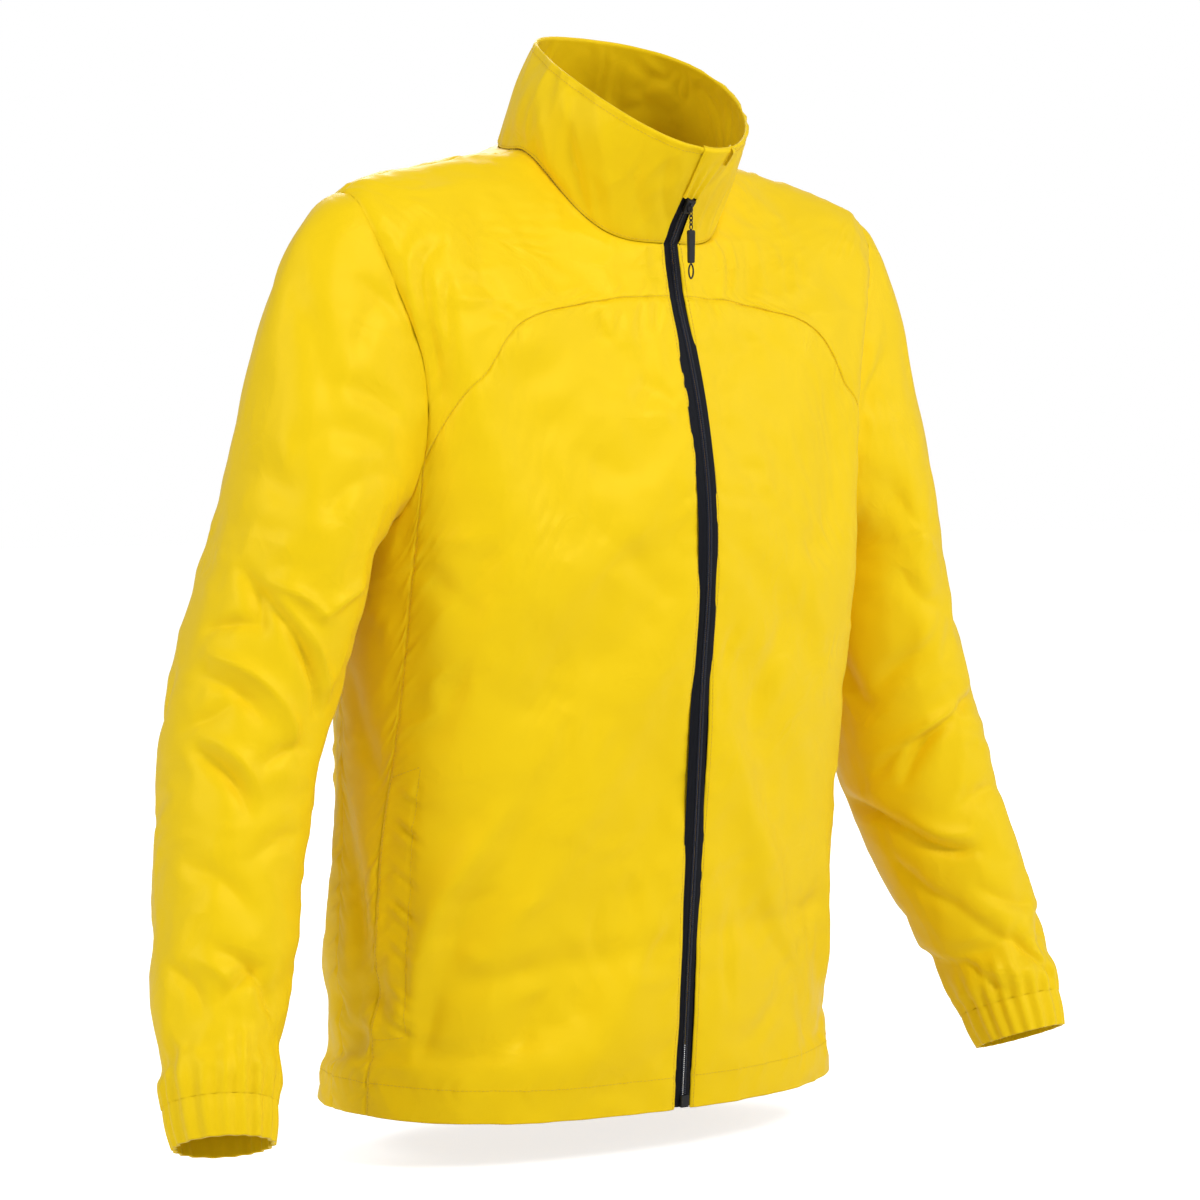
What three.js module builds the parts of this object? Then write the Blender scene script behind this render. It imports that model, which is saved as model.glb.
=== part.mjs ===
// A hip-length windbreaker jacket, filled out as if worn, hollow and open at neck, hem and cuffs.
// Millimetres, +Z up. The front faces -Y and the wearer's left is +X.
// The origin is on the shoulder line, midway between the two points where the neck meets the shoulders.
import * as THREE from 'three';

// Cloth and seams
const CLOTH_WALL = 1.6;
const HEM_WALL = 2.4;
const HEM_FOLD = 24;
const SEAM_GAP = 0.3;
const CUFF_WALL = 2.4;

// The mesh lining behind the neck: rows of the back's own places that it covers, and those it stops short of
const LINING = { wall: 1.2, rows: 4, short: 1 };

// Zip
const ZIP_WIDTH = 13.6;
const ZIP_WALL = 1.2;
const ZIP_TOP = 0.52;
const ZIP_FOOT = 1;
const ZIP_SET_IN = 0.2;
const ZIP_ROWS = 30;
const CHAIN_GAP = 0.4;
const GARAGE = { proud: 1.2, wall: 2.4, rows: 4 };

// Rows of sections with named columns
const rowsOf = (names, rows) => rows.map((row) => Object.fromEntries(names.map((name, i) => [name, row[i]])));

// The body's horizontal rings, from the hem up to the neck seam.
// v is the height along the cloth at the centre front. Each ring passes through a front, a side and a back
// point. square squares its corners, and rise says how late it climbs from front and back to the side.
const BODY_TOP = 636;
const BODY_RINGS = rowsOf(
  ['v', 'frontY', 'frontZ', 'sideX', 'sideY', 'sideZ', 'backY', 'backZ', 'square', 'rise'],
  [
    [0, -92, -704, 217, 35, -700, 160, -700, 0.02, 4],
    [100, -99, -603, 213, 31, -600, 162, -600, 0.02, 2],
    [210, -108, -493, 208, 26, -491, 157, -492, 0.02, 2],
    [320, -116, -385, 210, 20, -384, 157, -384, 0.02, 2],
    [400, -123, -305, 214, 15, -312, 159, -300, 0.02, 2],
    [450, -122, -256, 215, 11, -262, 156, -242, 0.015, 2],
    [505, -112, -196, 227, 5, -150, 146, -160, 0.01, 2.2],
    [560, -97, -143, 236, -2, -38, 120, -82, 0, 2.6],
    [600, -85, -108, 160, -2, -14, 98, -28, 0, 3.4],
    [BODY_TOP, -78, -70, 86, -2, 0, 75, 12, 0, 4],
  ],
);

// The collar's rings, from the neck seam (t = 0) to the top edge (t = 1)
const COLLAR_RINGS = rowsOf(
  ['t', 'frontY', 'sideX', 'sideY', 'backY'],
  [
    [0, -78, 86, -2, 75],
    [0.33, -91, 86, -16, 66],
    [0.66, -109, 83, -30, 55],
    [1, -128, 74, -41, 44],
  ],
);
const COLLAR_EDGE = { middle: 42, lean: 48, bulge: 13 };

// The armhole on the body's rings: its middle height, half height, and reach to the front and back
const ARMHOLE = { v: 499, half: 61, front: 28.5, back: 27, roundTop: 0.8, roundBottom: 0.95 };
const SIDE_CORNER = 118.4;
const SIDE_CORNER_V = 470;
const SIDE_CORNER_PHI = 64.8;
const SHOULDER_SEAM = 90;
const YOKE_AT_ZIP = 598;

// Where each seam runs: phi degrees round the body from the centre front, at a height v
const FRONT_SEAM = rowsOf(
  ['v', 'phi'],
  [
    [0, 78.5], [128, 78.7], [200, 78.6], [266, 75.4], [322, 72.6], [404, 69.6], [445, 67.6],
    [SIDE_CORNER_V, SIDE_CORNER_PHI],
  ],
);
const BACK_SEAM = rowsOf(
  ['v', 'phi'],
  [[0, 96], [100, 97], [200, 99], [283, 101], [400, 107], [SIDE_CORNER_V, 113.9]],
);
const YOKE_SEAM = rowsOf(
  ['phi', 'v'],
  [
    [0, YOKE_AT_ZIP], [10, 597], [20, 592], [28, 576], [33, 555], [38, 534], [44, 514], [51, 499],
    [SIDE_CORNER_PHI, SIDE_CORNER_V],
  ],
);

// Sleeve sections along each arm, from below the armpit (s = 0) to the cuff seam
const SLEEVE_COLUMNS = ['s', 'x', 'y', 'z', 'outer', 'front'];
const SLEEVES = {
  right: rowsOf(SLEEVE_COLUMNS, [
    [0, 276, 6, -284, 52, 69],
    [60, 292, 13, -340, 57, 67],
    [125, 312, 16, -405, 56, 62],
    [200, 330, 6, -478, 52, 57],
    [280, 346, -10, -557, 49, 53],
    [340, 358, -25, -615, 45, 49],
    [375, 364, -40, -648, 42, 46],
    [398, 368, -48, -669, 38, 41],
  ]),
  left: rowsOf(SLEEVE_COLUMNS, [
    [0, 271, 14, -284, 47, 68],
    [60, 282, 16, -340, 55, 67],
    [125, 306, 18, -405, 58, 65],
    [200, 324, 10, -478, 57, 62],
    [280, 348, -10, -557, 52, 56],
    [340, 366, -29, -615, 48, 51],
    [375, 368, -41, -646, 44, 47],
    [398, 369, -48, -665, 39, 41],
  ]),
};
const CAP_FULLNESS = { right: 0.85, left: 0.5 };
const SLEEVE_END = 398;

// How the sleeve cap leaves the armhole: 0 at the shoulder, 90 at the front, 180 under the arm
const CAP_LEAVING = rowsOf(
  ['theta', 'across', 'down', 'lead'],
  [[0, 0.93, 0.37, 1], [90, 0.75, 0.66, 0.75], [180, 0.6, 0.8, 0.6]],
);

// Elastic cuffs
const CUFF_LENGTH = 28;
const CUFF_GAP = 0.6;
const CUFF_LEAN = { x: 0.11, y: -0.35, z: -0.93 };
const CUFF_TAPER = 0.9;
const GATHER_DEPTH = 1.3;
const GATHER_START = 345;

// Largest folds. On the body, from (phi, v) to (phi, v). On a sleeve, from (theta, s) to (theta, s),
// where a negative s is on the cap. A positive depth is a trough and a negative one is a ridge.
// A fold is deepest in its middle, and FOLD_BLUNT says how much of the depth its ends keep.
const FOLD_COLUMNS = ['u0', 'v0', 'u1', 'v1', 'width', 'depth'];
const FOLD_BLUNT = 0.15;
const BODY_FOLDS = rowsOf(FOLD_COLUMNS, [
  [-38, 235, -64, 105, 16, -4],
  [-30, 120, -38, 60, 12, 3],
  [22, 355, 14, 275, 12, 3],
  [-90, 190, -84, 70, 14, 5],
  [88, 210, 92, 80, 14, 5],
  [-60, 545, -40, 560, 12, 3],
  [48, 170, 62, 60, 15, -4],
  [150, 430, 175, 330, 18, 4],
  [-150, 420, -170, 300, 18, 4],
  [128, 250, 150, 120, 16, -4],
  [-130, 210, -155, 90, 16, 4],
  [172, 180, -170, 60, 14, 3],
]);
const SLEEVE_FOLDS = {
  right: rowsOf(FOLD_COLUMNS, [
    [70, 30, 110, 95, 12, 5],
    [40, 85, 75, 60, 10, -4],
    [60, 175, 85, 225, 12, 5],
    [20, 110, 70, 140, 11, 4],
    [50, 330, 80, 290, 11, 4],
    [-60, 90, -110, 130, 13, 5],
    [-40, 200, -80, 240, 13, 4],
    [-150, 300, -100, 330, 11, 3],
  ]),
  left: rowsOf(FOLD_COLUMNS, [
    [60, 110, 130, 170, 12, 5],
    [50, 150, 120, 215, 12, -4],
    [60, 215, 150, 235, 13, 6],
    [40, 270, 110, 260, 12, 4],
    [30, 330, 80, 355, 10, 3],
    [-60, 100, -110, 140, 13, 5],
    [-40, 190, -80, 240, 13, 4],
    [-150, 290, -100, 330, 11, 3],
  ]),
};

// Pockets in the front side seams
const POCKET = { bottom: 60, top: 255, columns: 1, wall: 1.0 };

// Zip slider, its bottom box and the pull that hangs from it
const SLIDER = { width: 8, footWidth: 5.6, length: 11, depth: 3.4, lift: 0.6, below: 2 };
const BOTTOM_BOX = { width: 7, length: 9, depth: 2.4, lift: 0.4 };
const PULL = {
  clear: 0.75,
  linkLength: 17,
  linkRadius: 1.1,
  gripLength: 24,
  gripWidth: 6,
  gripDepth: 3,
  gripCorner: 1.6,
  gripTaper: 0.85,
  loopLength: 11,
  loopWidth: 5.6,
  loopCord: 0.8,
};

// Colours
const YELLOW = { color: 0xf7d11c, roughness: 0.5, metalness: 0 };
const INNER_YELLOW = { color: 0xdcb428, roughness: 0.8, metalness: 0 };
const BLACK_TAPE = { color: 0x14161c, roughness: 0.7, metalness: 0 };
const BLACK_METAL = { color: 0x2a2c32, roughness: 0.4, metalness: 0.8 };
const RUBBER = { color: 0x1a1b20, roughness: 0.6, metalness: 0 };

// Mesh density
const FRONT_COLUMNS = 8;
const SEAM_ROWS = 13;
const ARMHOLE_STEPS = { yoke: 9, side: 6, back: 9 };
const NECK_STEPS = { front: FRONT_COLUMNS, back: 12 };
const SHOULDER_STEPS = 4;
const CAP_ROWS = 5;
const SLEEVE_ROWS = 12;
const GATHER_ROWS = 3;

// Interpolation in a table: a smooth curve through the rows
function curve(rows, key, column) {
  const x = rows.map((row) => row[key]);
  const y = rows.map((row) => row[column]);
  const slope = y.map((_, i) => {
    const before = i > 0 ? (y[i] - y[i - 1]) / (x[i] - x[i - 1]) : null;
    const after = i < y.length - 1 ? (y[i + 1] - y[i]) / (x[i + 1] - x[i]) : null;
    if (before === null) return after;
    if (after === null) return before;
    const h0 = x[i] - x[i - 1];
    const h1 = x[i + 1] - x[i];
    return (before * h1 + after * h0) / (h0 + h1);
  });
  return (value) => {
    const at = THREE.MathUtils.clamp(value, x[0], x[x.length - 1]);
    let i = 0;
    while (i < x.length - 2 && at > x[i + 1]) i += 1;
    const h = x[i + 1] - x[i];
    const s = (at - x[i]) / h;
    const rise = y[i] * (2 * s ** 3 - 3 * s ** 2 + 1) + y[i + 1] * (3 * s ** 2 - 2 * s ** 3);
    return rise + h * (slope[i] * (s ** 3 - 2 * s ** 2 + s) + slope[i + 1] * (s ** 3 - s ** 2));
  };
}

const curves = (rows, key) =>
  Object.fromEntries(Object.keys(rows[0]).filter((c) => c !== key).map((c) => [c, curve(rows, key, c)]));
const point = (x, y, z) => new THREE.Vector3(x, y, z);
const steps = (from, to, count) =>
  Array.from({ length: count + 1 }, (_, i) => THREE.MathUtils.lerp(from, to, i / count));
const radians = THREE.MathUtils.degToRad;

const body = curves(BODY_RINGS, 'v');
const collar = curves(COLLAR_RINGS, 't');
const capLeaving = curves(CAP_LEAVING, 'theta');
const frontSeamPhi = curve(FRONT_SEAM, 'v', 'phi');
const backSeamPhi = curve(BACK_SEAM, 'v', 'phi');
const yokeSeamV = curve(YOKE_SEAM, 'phi', 'v');

// The body's smooth outer surface
function bodyPoint(phi, v) {
  const a = radians(phi);
  const k = body.square(v);
  const across = (Math.sin(a) + k * Math.sin(3 * a)) / (1 - k);
  const along = (Math.cos(a) - k * Math.cos(3 * a)) / (1 - k);
  const end = along >= 0 ? 'front' : 'back';
  const y = body.sideY(v) + (body[`${end}Y`](v) - body.sideY(v)) * Math.abs(along);
  const z0 = body[`${end}Z`](v);
  const climb = Math.abs(Math.sin(a)) ** body.rise(v);
  return point(body.sideX(v) * across, y, z0 + (body.sideZ(v) - z0) * climb);
}

// The collar's smooth outer surface. It starts on the neck seam.
function collarPoint(phi, t) {
  const a = radians(phi);
  const along = Math.cos(a);
  const reach = along >= 0 ? collar.frontY(t) : collar.backY(t);
  const y = collar.sideY(t) + (reach - collar.sideY(t)) * Math.abs(along);
  const edge = COLLAR_EDGE.middle - COLLAR_EDGE.lean * along + COLLAR_EDGE.bulge * Math.sin(a) ** 2;
  const z = THREE.MathUtils.lerp(bodyPoint(phi, BODY_TOP).z, edge, t);
  return point(collar.sideX(t) * Math.sin(a), y, z);
}

// A point of the armhole: theta is 0 at the shoulder, 90 at the front and 180 under the arm
function armholePlace(theta) {
  const a = radians(theta);
  const power = Math.cos(a) > 0 ? ARMHOLE.roundTop : ARMHOLE.roundBottom;
  const swing = Math.sign(Math.sin(a)) * Math.abs(Math.sin(a)) ** power;
  const reach = swing > 0 ? ARMHOLE.front : ARMHOLE.back;
  return { u: 90 - reach * swing, v: ARMHOLE.v + ARMHOLE.half * Math.cos(a) };
}

// Unit directions of an arm's section: along the arm, outward and forward
function armFrame(arm, s) {
  const at = (q) => point(arm.x(q), arm.y(q), arm.z(q));
  const along = at(s + 2).sub(at(s - 2)).normalize();
  const out = point(1, 0, 0).addScaledVector(along, -along.x).normalize();
  const forward = new THREE.Vector3().crossVectors(along, out).normalize();
  if (forward.y > 0) forward.negate();
  return { centre: at(s), along, out, forward };
}

function armPoint(arm, theta, s) {
  const { centre, out, forward } = armFrame(arm, s);
  const a = radians(theta);
  return centre
    .addScaledVector(out, arm.outer(s) * Math.cos(a))
    .addScaledVector(forward, arm.front(s) * Math.sin(a));
}

// The sleeve cap: a smooth sweep from the armhole to the arm's first section. t goes from 0 to 1.
function capPoint(arm, fullness, theta, t) {
  const { u, v } = armholePlace(theta);
  const start = bodyPoint(u, v);
  const end = armPoint(arm, theta, 0);
  const span = start.distanceTo(end);
  const turn = Math.abs(((((theta + 180) % 360) + 360) % 360) - 180);
  const full = THREE.MathUtils.lerp(fullness, 1, turn / 180);
  const lead = span * full * capLeaving.lead(turn);
  const leave = point(capLeaving.across(turn) * lead, 0, -capLeaving.down(turn) * lead);
  const arrive = armFrame(arm, 0).along.multiplyScalar(span * full);
  return start
    .multiplyScalar(2 * t ** 3 - 3 * t ** 2 + 1)
    .addScaledVector(leave, t ** 3 - 2 * t ** 2 + t)
    .addScaledVector(end, 3 * t ** 2 - 2 * t ** 3)
    .addScaledVector(arrive, t ** 3 - t ** 2);
}

// A smooth surface's outward normal
function normalOf(surface, u, v, du, dv, inside) {
  const along = surface(u + du, v).sub(surface(u - du, v));
  const up = surface(u, v + dv).sub(surface(u, v - dv));
  const normal = along.cross(up).normalize();
  if (normal.dot(surface(u, v).sub(inside(u, v))) < 0) normal.negate();
  return normal;
}

// A point inside the body, lower for the shoulders, which face up
const SHOULDER_DROP = 60;
const bodyInside = (u, v) => point(0, body.sideY(v), bodyPoint(u, v).z - (v > ARMHOLE.v ? SHOULDER_DROP : 0));
const bodyNormal = (phi, v) =>
  normalOf(bodyPoint, phi, THREE.MathUtils.clamp(v, 1, BODY_TOP - 1), 0.5, 1, bodyInside);
const collarNormal = (phi, t) =>
  normalOf(collarPoint, phi, THREE.MathUtils.clamp(t, 0.02, 0.98), 0.5, 0.02, (u, v) =>
    point(0, collar.sideY(v), collarPoint(u, v).z));

// How far the folds push a point inward
function foldDepth(at, folds) {
  let depth = 0;
  for (const fold of folds) {
    const nearest = fold.line.closestPointToPoint(at, true, new THREE.Vector3());
    const away = nearest.distanceTo(at) / fold.width;
    const along = fold.line.closestPointToPointParameter(at, true);
    const swell = Math.sin(Math.PI * THREE.MathUtils.lerp(FOLD_BLUNT, 1 - FOLD_BLUNT, along));
    depth += fold.depth * Math.exp(-away * away) * swell;
  }
  return depth;
}

const foldLines = (rows, surface) =>
  rows.map((row) => ({ ...row, line: new THREE.Line3(surface(row.u0, row.v0), surface(row.u1, row.v1)) }));
const bodyFolds = foldLines(BODY_FOLDS, bodyPoint);

function foldedBodyPoint(phi, v) {
  const at = bodyPoint(phi, v);
  return at.addScaledVector(bodyNormal(phi, v), -foldDepth(at, bodyFolds));
}

const hemWall = (v) => (v < HEM_FOLD ? HEM_WALL : CLOTH_WALL);

// A closed geometry from positions and triangles, with its faces pointing out
function closedGeometry(points, triangles) {
  let volume = 0;
  for (const [a, b, c] of triangles) {
    volume += points[a].dot(new THREE.Vector3().crossVectors(points[b], points[c]));
  }
  const faces = volume < 0 ? triangles.map(([a, b, c]) => [a, c, b]) : triangles;
  const geometry = new THREE.BufferGeometry();
  geometry.setAttribute('position', new THREE.Float32BufferAttribute(points.flatMap((p) => p.toArray()), 3));
  geometry.setIndex(faces.flat());
  geometry.computeVertexNormals();
  return geometry;
}

const quad = (a, b, c, d) => [[a, b, c], [a, c, d]];

// A wall from a grid of outer points and one of inner points. A wrapped grid is a tube.
function wall(outer, inner, wrapped = false) {
  const rows = outer.length;
  const columns = outer[0].length;
  const layer = rows * columns;
  const at = (r, c, side) => side * layer + r * columns + (c % columns);
  const triangles = [];
  const spans = wrapped ? columns : columns - 1;
  for (let r = 0; r < rows - 1; r += 1) {
    for (let c = 0; c < spans; c += 1) {
      triangles.push(...quad(at(r, c, 0), at(r, c + 1, 0), at(r + 1, c + 1, 0), at(r + 1, c, 0)));
      triangles.push(...quad(at(r, c, 1), at(r + 1, c, 1), at(r + 1, c + 1, 1), at(r, c + 1, 1)));
    }
  }
  for (let c = 0; c < spans; c += 1) {
    triangles.push(...quad(at(0, c, 0), at(0, c, 1), at(0, c + 1, 1), at(0, c + 1, 0)));
    const top = rows - 1;
    triangles.push(...quad(at(top, c, 0), at(top, c + 1, 0), at(top, c + 1, 1), at(top, c, 1)));
  }
  if (!wrapped) {
    const end = columns - 1;
    for (let r = 0; r < rows - 1; r += 1) {
      triangles.push(...quad(at(r, 0, 0), at(r + 1, 0, 0), at(r + 1, 0, 1), at(r, 0, 1)));
      triangles.push(...quad(at(r, end, 0), at(r, end, 1), at(r + 1, end, 1), at(r + 1, end, 0)));
    }
  }
  return closedGeometry([...outer.flat(), ...inner.flat()], triangles);
}

// The places inside four seams that share their corners. Each seam is a list of {u, v}.
function placesBetween(bottom, top, left, right) {
  const last = { c: bottom.length - 1, r: left.length - 1 };
  return left.map((_, r) =>
    bottom.map((__, c) => {
      const s = c / last.c;
      const t = r / last.r;
      const mix = (key) =>
        (1 - t) * bottom[c][key] + t * top[c][key] + (1 - s) * left[r][key] + s * right[r][key]
        - (1 - s) * (1 - t) * bottom[0][key] - s * (1 - t) * bottom[last.c][key]
        - (1 - s) * t * top[0][key] - s * t * top[last.c][key];
      return { u: mix('u'), v: mix('v') };
    }));
}

// Draws a grid's edges in by half a seam gap, so that neighbours stay apart
function drawnIn(grid, sides) {
  const rows = grid.length;
  const columns = grid[0].length;
  return grid.map((row, r) =>
    row.map((p, c) => {
      const dr = (sides.bottom && r === 0 ? 1 : 0) - (sides.top && r === rows - 1 ? 1 : 0);
      const dc = (sides.left && c === 0 ? 1 : 0) - (sides.right && c === columns - 1 ? 1 : 0);
      if (dr === 0 && dc === 0) return p.clone();
      const toward = (q) => q.clone().sub(p).setLength(SEAM_GAP / 2);
      const moved = p.clone();
      if (dr !== 0) moved.add(toward(grid[r + dr][c]));
      if (dc !== 0) moved.add(toward(grid[r][c + dc]));
      return moved;
    }));
}

const ALL_SIDES = { bottom: true, top: true, left: true, right: true };

// A wall of cloth over a grid of places on a surface. depth sets it below the surface.
function clothOn(places, surface, normal, thickness, sides, depth = 0) {
  const below = (u, v, drop) => surface(u, v).addScaledVector(normal(u, v), -drop);
  const outer = places.map((row) => row.map(({ u, v }) => below(u, v, depth)));
  const inner = places.map((row) => row.map(({ u, v }) => below(u, v, depth + thickness(v))));
  return wall(drawnIn(outer, sides), drawnIn(inner, sides));
}

// A panel of cloth on a surface, between four seams
function panel(seams, surface, normal, thickness, sides = ALL_SIDES, depth = 0) {
  const places = placesBetween(seams.bottom, seams.top, seams.left, seams.right);
  return clothOn(places, surface, normal, thickness, sides, depth);
}

// Seam lines on the body, on the wearer's left. The right is their mirror image.
const seamRows = [0, HEM_FOLD - 2, HEM_FOLD + 2, ...steps(HEM_FOLD + 2, SIDE_CORNER_V, SEAM_ROWS).slice(1)];
const frontSeam = seamRows.map((v) => ({ u: frontSeamPhi(v), v }));
const backSeam = seamRows.map((v) => ({ u: backSeamPhi(v), v }));
const zipEdgePhi = (v) => THREE.MathUtils.radToDeg(Math.asin((ZIP_WIDTH / 2) / body.sideX(v)));
const zipSeam = (from, to, count) => steps(from, to, count).map((v) => ({ u: zipEdgePhi(v), v }));
const armholeSeam = (from, to, count) => steps(from, to, count).map(armholePlace);
const yokeStart = { u: zipEdgePhi(YOKE_AT_ZIP), v: YOKE_AT_ZIP };
const yokeSeam = steps(yokeStart.u, SIDE_CORNER_PHI, FRONT_COLUMNS)
  .map((phi) => ({ u: phi, v: yokeSeamV(phi) }));
const ringBetween = (v, from, to, count) => steps(from, to, count).map((phi) => ({ u: phi, v }));
const shoulderSeam = steps(ARMHOLE.v + ARMHOLE.half, BODY_TOP, SHOULDER_STEPS)
  .map((v) => ({ u: SHOULDER_SEAM, v }));
const neckFront = ringBetween(BODY_TOP, zipEdgePhi(BODY_TOP), SHOULDER_SEAM, NECK_STEPS.front);
const neckBack = ringBetween(BODY_TOP, SHOULDER_SEAM, 360 - SHOULDER_SEAM, NECK_STEPS.back);
const mirrored = (seam) => seam.map(({ u, v }) => ({ u: 360 - u, v }));
const joined = (...parts) => parts.reduce((line, part) => [...line, ...part.slice(1)]);
function sided(side, seams) {
  if (side === 'left') return seams;
  return Object.fromEntries(Object.entries(seams).map(([key, seam]) => [key, mirrored(seam)]));
}

function frontPlaces(side) {
  const zipRows = seamRows.map((v) => (v <= HEM_FOLD + 2 ? v : (v * yokeStart.v) / SIDE_CORNER_V));
  const seams = sided(side, {
    bottom: ringBetween(0, zipEdgePhi(0), frontSeam[0].u, FRONT_COLUMNS),
    top: yokeSeam,
    left: zipRows.map((v) => ({ u: zipEdgePhi(v), v })),
    right: frontSeam,
  });
  return placesBetween(seams.bottom, seams.top, seams.left, seams.right);
}

const frontPanel = (side) =>
  clothOn(frontPlaces(side), foldedBodyPoint, bodyNormal, hemWall, { ...ALL_SIDES, bottom: false });

function yokePanel(side) {
  const armhole = armholeSeam(SIDE_CORNER, 0, ARMHOLE_STEPS.yoke);
  const outerEdge = joined(armhole, shoulderSeam);
  return panel(
    sided(side, {
      bottom: yokeSeam,
      top: neckFront,
      left: zipSeam(yokeStart.v, BODY_TOP, outerEdge.length - 1),
      right: outerEdge,
    }),
    foldedBodyPoint, bodyNormal, hemWall,
  );
}

function sidePanel(side) {
  const armhole = armholeSeam(SIDE_CORNER, 360 - SIDE_CORNER, ARMHOLE_STEPS.side);
  return panel(
    sided(side, {
      bottom: ringBetween(0, frontSeam[0].u, backSeam[0].u, ARMHOLE_STEPS.side),
      top: armhole,
      left: frontSeam,
      right: backSeam,
    }),
    foldedBodyPoint, bodyNormal, hemWall, { ...ALL_SIDES, bottom: false },
  );
}

// Rows that run more evenly up the middle of the back and follow the armholes only at its sides
const ROWS_FOLLOW_SIDES = 0.4;
function evenedRows(places) {
  const start = seamRows.indexOf(HEM_FOLD + 2);
  return places.map((row, r) =>
    row.map(({ u, v }, c) => {
      if (r <= start) return { u, v };
      const even = THREE.MathUtils.mapLinear(r, start, places.length - 1, seamRows[start], BODY_TOP);
      const atSide = Math.max(ROWS_FOLLOW_SIDES, Math.abs((2 * c) / (row.length - 1) - 1) ** 3);
      return { u, v: THREE.MathUtils.lerp(even, v, atSide) };
    }));
}

function backPlaces() {
  const armhole = armholeSeam(360 - SIDE_CORNER, 360, ARMHOLE_STEPS.back);
  const left = joined(backSeam, armhole, shoulderSeam);
  const hem = ringBetween(0, backSeam[0].u, 360 - backSeam[0].u, NECK_STEPS.back);
  return evenedRows(placesBetween(hem, neckBack, left, mirrored(left)));
}

const backPanel = () =>
  clothOn(backPlaces(), foldedBodyPoint, bodyNormal, hemWall, { ...ALL_SIDES, bottom: false });

function collarBand() {
  const around = joined(neckFront, neckBack, [...mirrored(neckFront)].reverse());
  const heights = [0, 0.25, ZIP_TOP, 0.8, 1];
  const edgePhi = (t) => THREE.MathUtils.radToDeg(Math.asin((ZIP_WIDTH / 2) / collar.sideX(t)));
  const line = (t) => around.map(({ u }, i) => {
    if (i === 0) return { u: edgePhi(t), v: t };
    return i === around.length - 1 ? { u: 360 - edgePhi(t), v: t } : { u, v: t };
  });
  const rows = heights.map(line);
  return panel(
    { bottom: rows[0], top: rows[4], left: rows.map((r) => r[0]), right: rows.map((r) => r[r.length - 1]) },
    collarPoint, collarNormal, () => CLOTH_WALL, { ...ALL_SIDES, top: false },
  );
}

// The mesh lining behind the neck, only as far down as it can be seen. It is made from the back's own places.
function neckLining() {
  const behind = backPlaces().slice(-LINING.rows).map((row) => row.slice(LINING.short, -LINING.short));
  const depth = CLOTH_WALL + SEAM_GAP;
  return clothOn(behind, foldedBodyPoint, bodyNormal, () => LINING.wall, { top: true }, depth);
}

// A facing under the front's cloth along the pocket's opening. It is made from the front's own places.
function pocketFacing(side) {
  const beside = frontPlaces(side)
    .filter((_, r) => seamRows[r] >= POCKET.bottom && seamRows[r] <= POCKET.top)
    .map((row) => row.slice(-1 - POCKET.columns));
  const depth = CLOTH_WALL + SEAM_GAP;
  return clothOn(beside, foldedBodyPoint, bodyNormal, () => POCKET.wall, { right: true }, depth);
}

// Sleeves. The columns start at the armhole's own points.
const armholeAngles = joined(
  steps(0, SIDE_CORNER, ARMHOLE_STEPS.yoke),
  steps(SIDE_CORNER, 360 - SIDE_CORNER, ARMHOLE_STEPS.side),
  steps(360 - SIDE_CORNER, 360, ARMHOLE_STEPS.back),
).slice(0, -1);

const doubled = (angles) => angles.flatMap((angle, i) => {
  const next = i + 1 < angles.length ? angles[i + 1] : angles[0] + 360;
  return [angle, (angle + next) / 2];
});

const sleeveSurface = (arm, fullness) => (theta, s) =>
  s < 0 ? capPoint(arm, fullness, theta, 1 + s / CAP_ROWS) : armPoint(arm, theta, s);

// Gathers deepen towards the cuff seam. They are evenly spaced by column.
function gatherDepth(order, s) {
  const growth = THREE.MathUtils.smoothstep(s, GATHER_START, SLEEVE_END);
  return GATHER_DEPTH * growth * (order % 2 === 0 ? 1 : -1);
}

function sleeve(side) {
  const arm = curves(SLEEVES[side], 's');
  const surface = sleeveSurface(arm, CAP_FULLNESS[side]);
  const folds = foldLines(SLEEVE_FOLDS[side], surface);
  const centre = (s) => armFrame(arm, s).centre;
  const place = (theta, s, order) => {
    const step = s < 0 ? 0.2 : 2;
    const clamped = THREE.MathUtils.clamp(s, -CAP_ROWS + step, SLEEVE_END - step);
    const along = surface(theta + 1, clamped).sub(surface(theta - 1, clamped));
    const down = surface(theta, clamped + step).sub(surface(theta, clamped - step));
    const normal = along.cross(down).normalize();
    if (normal.dot(surface(theta, clamped).sub(centre(Math.max(s, 0)))) < 0) normal.negate();
    const at = surface(theta, s);
    if (s <= -CAP_ROWS) {
      const { u, v } = armholePlace(theta);
      return { outer: at, normal: bodyNormal(u, v) };
    }
    const depth = s < 0 ? 0 : foldDepth(at, folds) * THREE.MathUtils.smoothstep(s, 0, 20);
    return { outer: at.addScaledVector(normal, gatherDepth(order, s) - depth), normal };
  };
  const ringAt = (s, angles, isFine) => angles.map((theta, i) => place(theta, s, isFine ? i : 0));
  const wide = [...steps(-CAP_ROWS, 0, CAP_ROWS), ...steps(0, GATHER_START, SLEEVE_ROWS).slice(1)];
  const fine = steps(GATHER_START, SLEEVE_END, GATHER_ROWS);
  const wideRings = wide.map((s) => ringAt(s, armholeAngles, false));
  const fineRings = fine.map((s) => ringAt(s, doubled(armholeAngles), true));
  leaveArmhole(wideRings);
  return mirrorTo(side, tubeWall(wideRings, fineRings));
}

// Moves the first ring off the body by half a seam gap, along the sleeve
function leaveArmhole(rings) {
  rings[0] = rings[0].map(({ outer, normal }, i) => {
    const toward = rings[1][i].outer.clone().sub(outer).setLength(SEAM_GAP);
    return { outer: outer.clone().add(toward), normal };
  });
}

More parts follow.
